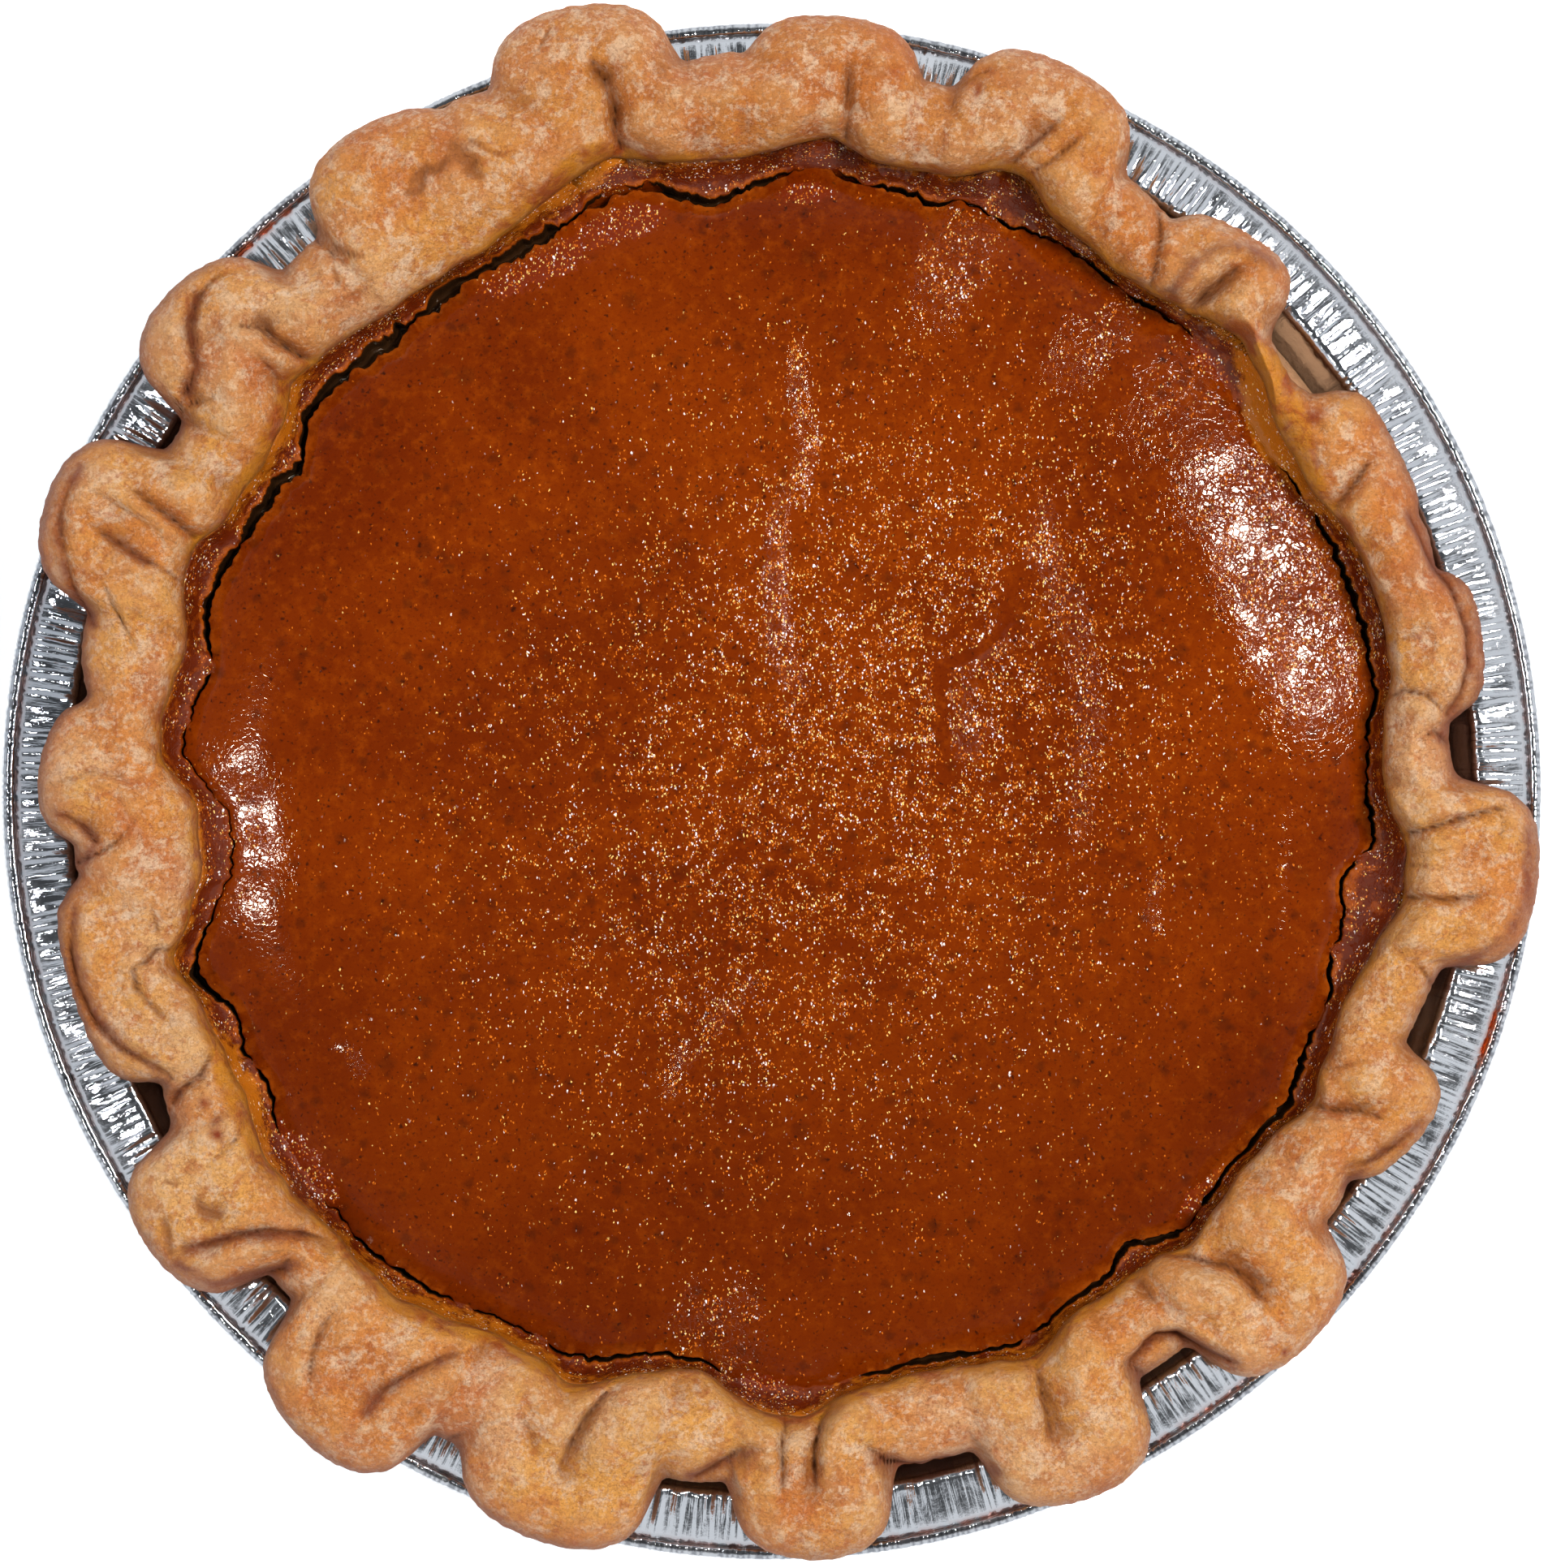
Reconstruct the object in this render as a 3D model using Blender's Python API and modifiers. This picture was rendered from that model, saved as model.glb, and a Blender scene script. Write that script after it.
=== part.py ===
"""A pumpkin pie in its foil tin, ready to run in Blender 4.5.

Three solids, in metres, +Z up, with the origin at the middle of the tin's flat base:
the foil tin, the pastry case with its hand-fluted edge, and the custard filling.
Angles in the lists run clockwise from +Y, seen from above, as on a clock face.
"""

import math
from collections import namedtuple

import bmesh
import bpy
import numpy as np

MM = 0.001

# Foil tin: a flared dish with a flat flange and a rolled bead around its edge.
RIM_RADIUS = 122.0 * MM
MOUTH_RADIUS = 111.2 * MM
BASE_RADIUS = 92.0 * MM
BASE_BEND = 1.5 * MM
FLANGE_TOP = 30.0 * MM
FOIL = 0.5 * MM
BEAD_RADIUS = 1.1 * MM
BEAD_TURNS = 5
TIN_SEGMENTS = 90

# Pastry case.
CLEARANCE = 0.3 * MM
STEPS = 180  # sections around the pie
FLOOR_THICKNESS = 3.5 * MM
FLOOR_RADIUS = BASE_RADIUS - BASE_BEND - 2 * CLEARANCE
WALL_THICKNESS = 3.0 * MM
DRAWN_BACK_RADIUS = 104.5 * MM  # outside of the pastry wall under the rope
WALL_RADIUS = 98.5 * MM  # inside of the pastry wall at the fill line
FILL_LINE = 29.0 * MM
SKIRT_RISE = 8.5 * MM
SKIRT_REACH = 11.0 * MM

# The fluted rope of dough that stands on the flange.
ROPE_LIFT = 3.3 * MM  # from the rope's underside to its widest level
ROPE_HEIGHT = 8.8 * MM  # from its widest level to its crest, where it is full width
WIDEST_ROPE = 8.0 * MM  # half-width of the thickest rope
THINNEST_ROPE = 5.5 * MM
THIN_REACH = 100.0 * MM
REACH_PER_WIDTH = 2.6
EDGE_ROUNDING = 0.8 * MM
BEAD_STEP = 1.6 * MM  # how far a flute rises to lie on the tin's bead
BEAD_STEP_START = 113.0 * MM
BEAD_STEP_END = 118.0 * MM
CREST_SAMPLES = 8  # points on each span of the crest line
TOP_STATIONS = 7

# Custard.
CRACK_HALF_WIDTH = 0.6 * MM
CRACK_DEPTH = 7.0 * MM
CRACK_SHOULDER = 4.0 * MM
SUNK_CENTRE = 1.0 * MM
RING_RADIUS = 67.0 * MM

# A flute is where a knuckle pushed the rope out. The rope runs out along one limb and back
# along the other: the angle of each limb and how far it reaches, and how full the dough
# between the limbs is, from 0 for a deep crease to 1 for a flat lobe.
Flute = namedtuple("Flute", "first first_reach second second_reach web")
# A pinch is where two fingers held the rope back: its angle, inner and outer edge.
Pinch = namedtuple("Pinch", "angle inner outer")

FLUTES = (
    Flute(2.0, 121.3, 7.5, 121.3, 0.0),
    Flute(19.0, 122.5, 25.0, 121.5, 0.3),
    Flute(38.0, 113.5, 43.5, 115.3, 0.0),
    Flute(57.5, 112.0, 64.5, 111.5, 0.8),
    Flute(74.5, 114.0, 80.5, 113.0, 0.6),
    Flute(93.5, 119.8, 100.0, 119.8, 0.7),
    Flute(115.5, 115.3, 121.0, 113.0, 0.4),
    Flute(132.5, 119.3, 138.5, 119.8, 0.0),
    Flute(153.0, 120.8, 158.5, 119.5, 0.3),
    Flute(174.3, 119.7, 179.5, 118.7, 0.2),
    Flute(194.0, 121.8, 201.0, 121.5, 0.4),
    Flute(212.5, 125.0, 218.5, 123.3, 0.9),
    Flute(231.0, 120.2, 236.0, 120.2, 0.8),
    Flute(248.5, 113.5, 259.5, 114.0, 0.8),
    Flute(269.0, 114.8, 274.5, 113.5, 0.8),
    Flute(289.5, 121.2, 294.5, 122.0, 0.3),
    Flute(307.0, 122.2, 312.0, 121.2, 0.0),
    Flute(325.5, 122.0, 331.0, 121.2, 0.9),
    Flute(342.3, 126.2, 348.3, 125.4, 0.0),
)
PINCHES = (
    Pinch(13.5, 99.0, 114.0),
    Pinch(32, 98.0, 110.5),
    Pinch(51.5, 97.5, 104.0),
    Pinch(68.5, 99.0, 110.5),
    Pinch(87, 96.5, 106.5),
    Pinch(107.5, 96.5, 107.5),
    Pinch(126.5, 95.5, 110.0),
    Pinch(145.5, 95.0, 108.5),
    Pinch(167, 95.0, 108.0),
    Pinch(186.5, 91.5, 109.0),
    Pinch(206, 96.0, 114.0),
    Pinch(225.5, 97.5, 109.5),
    Pinch(243.5, 95.0, 106.5),
    Pinch(264.5, 92.5, 110.0),
    Pinch(281.5, 96.5, 110.5),
    Pinch(301.5, 96.5, 109.0),
    Pinch(319.5, 98.0, 112.5),
    Pinch(335.5, 98.0, 119.0),
    Pinch(356.5, 100.5, 116.0),
)
# The crack where the custard drew away from the pastry: angle and radius.
CRACK = (
    (4, 99.0), (15, 95.5), (20, 97.5), (32, 97.0), (41, 97.5), (55, 94.5), (68, 94.0),
    (82, 95.0), (91, 93.5), (99, 91.0), (108, 91.5), (122, 94.5), (136, 94.5),
    (142, 91.0), (156, 94.5), (170, 93.0), (180, 93.5), (189, 90.0), (200, 94.0),
    (220, 96.0), (234, 94.5), (241, 91.5), (253, 95.5), (264, 86.0), (274, 93.0),
    (282, 91.0), (290, 94.0), (304, 90.5), (312, 94.5), (330, 94.0), (346, 98.0),
    (354, 94.0),
)


def clear_scene():
    for obj in list(bpy.data.objects):
        bpy.data.objects.remove(obj, do_unlink=True)


def new_collection(name):
    collection = bpy.data.collections.new(name)
    bpy.context.scene.collection.children.link(collection)
    return collection


def new_material(name, colour, roughness, metallic=0.0):
    material = bpy.data.materials.new(name)
    material.use_nodes = True
    shader = material.node_tree.nodes["Principled BSDF"]
    shader.inputs["Base Color"].default_value = (*colour, 1.0)
    shader.inputs["Roughness"].default_value = roughness
    shader.inputs["Metallic"].default_value = metallic
    return material


def add_object(name, mesh, material, collection, smooth_angle):
    mesh.materials.append(material)
    mesh.shade_smooth()
    mesh.set_sharp_from_angle(angle=math.radians(smooth_angle))
    obj = bpy.data.objects.new(name, mesh)
    collection.objects.link(obj)
    return obj


def smoothstep(low, high, value):
    share = np.clip((value - low) / (high - low), 0.0, 1.0)
    return share * share * (3.0 - 2.0 * share)


def clock_direction(angle):
    """Unit vectors for clock angles in radians."""
    return np.stack([np.sin(angle), np.cos(angle)], axis=-1)


def closed_spline(points, samples):
    """A smooth closed line through the rows of points, by the Catmull-Rom rule."""
    share = (np.arange(samples) / samples)[None, :, None]
    p0, p1, p2, p3 = (np.roll(points, shift, axis=0)[:, None, :] for shift in (1, 0, -1, -2))
    line = p1 + 0.5 * share * (
        (p2 - p0)
        + share * (2 * p0 - 5 * p1 + 4 * p2 - p3)
        + share**2 * (3 * p1 - p0 - 3 * p2 + p3)
    )
    return line.reshape(-1, points.shape[1])


def ball(angle, radius, half_width, fullness=1.0):
    """One row of the rope: x, y, half-width and height above its widest level."""
    x, y = radius * clock_direction(math.radians(angle))
    return (x, y, half_width, fullness * ROPE_HEIGHT * math.sqrt(half_width / WIDEST_ROPE))


def limb_half_width(reach):
    """A limb that reaches further has a thicker rope, up to the widest."""
    return min(max((reach - THIN_REACH) / REACH_PER_WIDTH, THINNEST_ROPE), WIDEST_ROPE)


def limb(angle, reach, inner_edge):
    """The inner and the outer end of one limb of a flute."""
    half_width = limb_half_width(reach)
    return [ball(angle, inner_edge + half_width, half_width),
            ball(angle, reach - half_width, half_width)]


def rope_rows():
    """The rope as a dense row of balls: out along one limb of each flute, back along the
    other, and on through the pinch to the next flute."""
    turns = []
    webs = []
    for index, (flute, pinch) in enumerate(zip(FLUTES, PINCHES)):
        inner_edge = 0.5 * (PINCHES[index - 1].inner + pinch.inner) * MM
        turns += limb(flute.first, flute.first_reach * MM, inner_edge)
        turns += reversed(limb(flute.second, flute.second_reach * MM, inner_edge))
        middle = 0.5 * (pinch.outer + pinch.inner) * MM
        turns.append(ball(pinch.angle, middle, 0.5 * (pinch.outer - pinch.inner) * MM))
        if flute.web:
            reach = 0.5 * (flute.first_reach + flute.second_reach) * MM
            half_width = limb_half_width(reach)
            for radius in np.linspace(inner_edge + half_width, reach - half_width, CREST_SAMPLES):
                middle_angle = 0.5 * (flute.first + flute.second)
                webs.append(ball(middle_angle, radius, half_width, flute.web))
    return np.concatenate([closed_spline(np.array(turns), CREST_SAMPLES), np.array(webs)])


def rope_edges(rope, angles):
    """The rope's inner and outer radius along each angle, from the discs that it covers."""
    along = rope[:, :2] @ clock_direction(angles).T
    aside = (rope[:, :2] ** 2).sum(axis=1)[:, None] - along**2
    half_chord = rope[:, 2][:, None] ** 2 - aside
    met = (half_chord > 0) & (along > 0)
    half_chord = np.sqrt(np.maximum(half_chord, 0.0))
    outer = np.where(met, along + half_chord, 0.0).max(axis=0)
    inner = np.where(met, along - half_chord, RIM_RADIUS).min(axis=0)
    return inner, outer


def rope_height(rope, places):
    """Height above the rope's widest level, 0 where the rope doesn't reach."""
    gap = ((places[:, None, :] - rope[None, :, :2]) ** 2).sum(axis=2)
    share = 1.0 - gap / rope[None, :, 2] ** 2
    return (np.sqrt(np.maximum(share, 0.0)) * rope[None, :, 3]).max(axis=1)


def resting_level(radius):
    """The underside of the dough: just over the flange, and over the bead further out."""
    return FLANGE_TOP + CLEARANCE + BEAD_STEP * smoothstep(BEAD_STEP_START, BEAD_STEP_END, radius)


def step_angles():
    return 2 * math.pi * np.arange(STEPS) / STEPS


def wall_line(rope):
    """Inside of the pastry wall at the fill line; it follows the rope where that bulges in."""
    return np.minimum(rope_edges(rope, step_angles())[0], WALL_RADIUS)


def pastry_top(rope, radius, inner, outer):
    """Height of the dough's upper side: the rope, and the skirt where it isn't reached."""
    raised = rope_height(rope, radius[:, None] * clock_direction(step_angles()))
    widest = resting_level(outer) + ROPE_LIFT
    skirt = FILL_LINE + CLEARANCE + SKIRT_RISE * smoothstep(0, SKIRT_REACH, radius - inner)
    return np.where(raised > 0, widest + raised, np.minimum(skirt, widest))


def pastry_sections(rope):
    """Rings of radius and height, from the pastry's inner floor up, over and down."""
    inner = wall_line(rope)
    outer = rope_edges(rope, step_angles())[1]
    sections = [(FLOOR_RADIUS - WALL_THICKNESS, FOIL + CLEARANCE + FLOOR_THICKNESS)]
    sections.append((inner, FILL_LINE - CLEARANCE))
    for share in np.linspace(0, 1, TOP_STATIONS):
        radius = inner + (outer - inner) * 0.5 * (1 - math.cos(math.pi * share))
        sections.append((radius, pastry_top(rope, radius, inner, outer)))
    underside = resting_level(outer)
    sections.append((outer - EDGE_ROUNDING, underside + EDGE_ROUNDING))
    sections.append((outer - 3 * EDGE_ROUNDING, underside))
    wall_top = np.minimum(DRAWN_BACK_RADIUS, outer - 4 * EDGE_ROUNDING)
    sections.append((wall_top, resting_level(wall_top)))
    sections.append((FLOOR_RADIUS, FOIL + CLEARANCE))
    return sections


def custard_sections(rope):
    """Rings of radius and height, from the middle of the custard's top to its underside."""
    edge = wall_line(rope) - CLEARANCE
    angles, radii = np.array(CRACK).T
    crack = np.interp(np.degrees(step_angles()), angles, radii, period=360) * MM
    crack = np.minimum(crack, edge - 3 * CRACK_HALF_WIDTH)
    return [
        (RING_RADIUS, FILL_LINE - 0.5 * SUNK_CENTRE),
        (crack - CRACK_SHOULDER, FILL_LINE - CLEARANCE),
        (crack - CRACK_HALF_WIDTH, FILL_LINE - 2 * CLEARANCE),
        (crack, FILL_LINE - CRACK_DEPTH),
        (crack + CRACK_HALF_WIDTH, FILL_LINE - 2 * CLEARANCE),
        (edge, FILL_LINE - CLEARANCE),
        (FLOOR_RADIUS - WALL_THICKNESS - CLEARANCE, FOIL + 2 * CLEARANCE + FLOOR_THICKNESS),
    ]


def turned_mesh(name, sections, middle_heights):
    """Spins a plain profile once round, moves each of its rings to its section, and
    closes the first and last ring with a fan whose middle is at the given height."""
    bm = bmesh.new()
    profile = [bm.verts.new((0.0, 1.0, -ring)) for ring in range(len(sections))]
    for upper, lower in zip(profile, profile[1:]):
        bm.edges.new((upper, lower))
    bmesh.ops.spin(
        bm, geom=bm.verts[:] + bm.edges[:], axis=(0, 0, 1), cent=(0, 0, 0),
        angle=2 * math.pi, steps=STEPS, use_merge=True,
    )
    radii, heights = (
        [np.broadcast_to(section[side], STEPS) for section in sections] for side in (0, 1)
    )
    for vert in bm.verts:
        angle = math.atan2(vert.co.x, vert.co.y)
        ring = round(-vert.co.z)
        step = round(angle / (2 * math.pi) * STEPS) % STEPS
        radius = radii[ring][step]
        vert.co = (radius * math.sin(angle), radius * math.cos(angle), heights[ring][step])
    holes = [edge for edge in bm.edges if edge.is_boundary]
    caps = bmesh.ops.holes_fill(bm, edges=holes, sides=0)["faces"]
    middles = bmesh.ops.poke(bm, faces=caps)["verts"]
    middles.sort(key=lambda vert: vert.co.z)
    for vert, height in zip(middles, sorted(middle_heights)):
        vert.co = (0.0, 0.0, height)
    bmesh.ops.recalc_face_normals(bm, faces=bm.faces)
    mesh = bpy.data.meshes.new(name)
    bm.to_mesh(mesh)
    bm.free()
    return mesh


def tin_profile():
    """The tin's section as radius and height: out along the inside, round the bead and
    back along the outside."""
    points = [(0.0, FOIL), (BASE_RADIUS - FOIL - BASE_BEND, FOIL)]
    points += [(BASE_RADIUS - FOIL, FOIL + BASE_BEND), (MOUTH_RADIUS, FLANGE_TOP)]
    bead_middle = RIM_RADIUS - BEAD_RADIUS
    points.append((bead_middle - BEAD_RADIUS, FLANGE_TOP))
    for turn in range(BEAD_TURNS + 1):
        angle = math.radians(150 - 300 * turn / BEAD_TURNS)
        points.append((
            bead_middle + BEAD_RADIUS * math.cos(angle),
            FLANGE_TOP - 0.5 * FOIL + BEAD_RADIUS * math.sin(angle),
        ))
    points.append((bead_middle - BEAD_RADIUS, FLANGE_TOP - FOIL))
    points.append((MOUTH_RADIUS + FOIL, FLANGE_TOP - FOIL))
    points += [(BASE_RADIUS, BASE_BEND), (BASE_RADIUS - BASE_BEND, 0.0), (0.0, 0.0)]
    return points


def make_tin(collection):
    bm = bmesh.new()
    verts = [bm.verts.new((radius, 0.0, height)) for radius, height in tin_profile()]
    for inner, outer in zip(verts, verts[1:]):
        bm.edges.new((inner, outer))
    mesh = bpy.data.meshes.new("foil_tin")
    bm.to_mesh(mesh)
    bm.free()
    material = new_material("foil", (0.62, 0.65, 0.68), 0.25, metallic=1.0)
    obj = add_object("foil_tin", mesh, material, collection, smooth_angle=40)
    screw = obj.modifiers.new("Turn", "SCREW")
    screw.axis = "Z"
    screw.angle = 2 * math.pi
    screw.steps = TIN_SEGMENTS
    screw.render_steps = TIN_SEGMENTS
    screw.use_merge_vertices = True
    screw.merge_threshold = 0.0001 * MM
    screw.use_smooth_shade = True
    return obj


def make_crust(collection, rope):
    floor_levels = (FOIL + CLEARANCE + FLOOR_THICKNESS, FOIL + CLEARANCE)
    mesh = turned_mesh("crust", pastry_sections(rope), floor_levels)
    material = new_material("baked_pastry", (0.56, 0.29, 0.11), 0.6)
    return add_object("crust", mesh, material, collection, smooth_angle=50)


def make_filling(collection, rope):
    levels = (FILL_LINE - SUNK_CENTRE, FOIL + 2 * CLEARANCE + FLOOR_THICKNESS)
    mesh = turned_mesh("filling", custard_sections(rope), levels)
    material = new_material("pumpkin_custard", (0.25, 0.045, 0.006), 0.35)
    return add_object("filling", mesh, material, collection, smooth_angle=50)


def main():
    clear_scene()
    collection = new_collection("pumpkin_pie")
    rope = rope_rows()
    make_tin(collection)
    make_crust(collection, rope)
    make_filling(collection, rope)


main()
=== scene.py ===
# %% [markdown]
# # A pumpkin pie in its foil tin
#
# The pie is three things nested in each other: a thin foil tin, a pastry case whose edge was
# fluted by hand, and a pumpkin custard that set in the oven and cracked away from the pastry.
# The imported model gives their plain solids. Here each of them gets its real surface: pleats in
# the foil, folds and browning on the pastry, pebbles, specks and a ragged crack in the custard.

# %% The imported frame
import math
from collections import namedtuple

import bmesh
import bpy
import numpy as np
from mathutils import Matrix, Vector, noise


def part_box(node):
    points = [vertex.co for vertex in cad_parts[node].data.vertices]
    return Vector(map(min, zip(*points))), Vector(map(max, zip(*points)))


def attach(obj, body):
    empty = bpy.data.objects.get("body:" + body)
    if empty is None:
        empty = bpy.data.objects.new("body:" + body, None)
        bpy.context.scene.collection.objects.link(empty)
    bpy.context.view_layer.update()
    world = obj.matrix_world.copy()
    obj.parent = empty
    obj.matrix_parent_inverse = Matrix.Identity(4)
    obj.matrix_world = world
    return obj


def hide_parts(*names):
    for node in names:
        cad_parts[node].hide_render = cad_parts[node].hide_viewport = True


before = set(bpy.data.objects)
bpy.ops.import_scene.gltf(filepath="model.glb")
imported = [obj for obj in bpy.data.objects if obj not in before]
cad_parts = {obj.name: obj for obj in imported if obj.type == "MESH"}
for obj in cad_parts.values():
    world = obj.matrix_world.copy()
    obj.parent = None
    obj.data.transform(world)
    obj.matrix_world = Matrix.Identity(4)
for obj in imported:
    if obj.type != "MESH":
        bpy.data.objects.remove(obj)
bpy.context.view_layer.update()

# %% [markdown]
# ## Turning
#
# Everything here is round, so each piece starts the way a potter or a metal spinner makes it:
# one section, carried once round the middle. A fine grid is bent into a drum and welded along
# its seam, because a spin of a thousand steps gives the same drum but takes a hundred times
# longer. Each row of the drum is then moved, to its own radius and height at every step round,
# which turns the plain drum into a wavy edge, a pleated wall or a cracked skin. Angles are
# clock angles: 0 points along +Y, and they grow clockwise seen from above, because that is
# how one reads a pie from over the table.

# %% A turned piece
MM = 0.001


def clock_angles(steps):
    return 2 * math.pi * np.arange(steps) / steps


def plain_drum(rings, steps):
    """A closed drum of radius 1 whose rings lie one metre apart, going down from 0."""
    bm = bmesh.new()
    bmesh.ops.create_grid(bm, x_segments=steps, y_segments=rings - 1, size=1)
    for vert in bm.verts:
        turn, ring = math.pi * vert.co.x, round((vert.co.y + 1) / 2 * (rings - 1))
        vert.co = (math.sin(turn), math.cos(turn), -ring)
    seam = [vert for vert in bm.verts if vert.is_boundary and vert.co.y < -0.99999]
    bmesh.ops.remove_doubles(bm, verts=seam, dist=0.0001)
    open_rings = [edge for edge in bm.edges if edge.is_boundary]
    caps = bmesh.ops.holes_fill(bm, edges=open_rings, sides=0)["faces"]
    bmesh.ops.poke(bm, faces=caps)
    bmesh.ops.recalc_face_normals(bm, faces=bm.faces)
    return bm


def turned_piece(name, radii, heights, middles):
    """A closed piece whose rings lie at the given radius and height for each step round.

    The first and the last ring are closed by a fan, whose middles have the given heights.
    Returns the object, with each point's ring and step, and whether it is a fan's middle.
    """
    rings, steps = radii.shape
    bm = plain_drum(rings, steps)
    mesh = bpy.data.meshes.new(name)
    bm.to_mesh(mesh)
    bm.free()
    place = np.empty((len(mesh.vertices), 3), np.float32)
    mesh.vertices.foreach_get("co", place.ravel())
    ring = np.rint(-place[:, 2]).astype(int)
    turn = np.arctan2(place[:, 0], place[:, 1]) / (2 * math.pi)
    step = np.rint(turn * steps).astype(int) % steps
    at_middle = np.hypot(place[:, 0], place[:, 1]) < 0.5
    angle = clock_angles(steps)[step]
    radius = np.where(at_middle, 0.0, radii[ring, step])
    place[:, 0] = radius * np.sin(angle)
    place[:, 1] = radius * np.cos(angle)
    place[:, 2] = np.where(at_middle, np.array(middles)[(ring > 0).astype(int)], heights[ring, step])
    mesh.vertices.foreach_set("co", place.ravel())
    mesh.shade_smooth()
    mesh.update()
    obj = bpy.data.objects.new(name, mesh)
    bpy.context.scene.collection.objects.link(obj)
    print(name, len(mesh.vertices), "points,", len(mesh.polygons), "faces")
    return obj, ring, step, at_middle


def paint(obj, name, values):
    """Stores one number for each point of a piece, for its finish to read."""
    layer = obj.data.attributes.new(name, "FLOAT", "POINT")
    layer.data.foreach_set("value", values.astype(np.float32))


def smoothstep(low, high, value):
    share = np.clip((value - low) / (high - low), 0.0, 1.0)
    return share * share * (3.0 - 2.0 * share)


def around(steps, points, soften_degrees=1.0):
    """A smooth value for each step round the pie, from a few (angle, value) points."""
    angles, values = np.array(points, float).T
    line = np.interp(np.degrees(clock_angles(steps)), angles, values, period=360)
    return soften_round(line, soften_degrees)


def soften_round(line, degrees):
    """Averages a ring of values over its neighbours, by a bell curve this many degrees wide."""
    steps = line.shape[-1]
    turn = (np.arange(steps) + steps // 2) % steps - steps // 2
    bell = np.exp(-0.5 * (turn * 360 / steps / degrees) ** 2)
    spectrum = np.fft.fft(bell / bell.sum())
    return np.fft.ifft(np.fft.fft(line, axis=-1) * spectrum, axis=-1).real


def grain(radius, angle, height, size, detail=1):
    """Soft random relief between -1 and 1, with lumps of the given size."""
    x = (radius * np.sin(angle)).ravel() / size
    y = (radius * np.cos(angle)).ravel() / size
    z = (np.zeros_like(radius) + height).ravel() / size
    if detail == 1:
        values = [noise.noise(place) for place in zip(x, y, z)]
    else:
        values = [noise.fractal(place, 0.9, 2.0, detail) for place in zip(x, y, z)]
    return np.array(values).reshape(radius.shape)


# %% [markdown]
# ## Finishes
#
# A baked or pressed surface has several patterns on top of each other: broad patches, small
# mottles and a fine grain. The next helpers add one node each, so that a finish below reads
# as a short recipe. All patterns read the Object coordinates, in metres, so a scale of 500
# means lumps about two millimetres across.

# %% Node helpers
def linear(red, green, blue):
    """A colour as the renderer wants it, from the 0 to 255 values of a paint chart."""
    return tuple((c / 255 / 12.92) if c <= 10 else ((c / 255 + 0.055) / 1.055) ** 2.4
                 for c in (red, green, blue)) + (1.0,)


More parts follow.
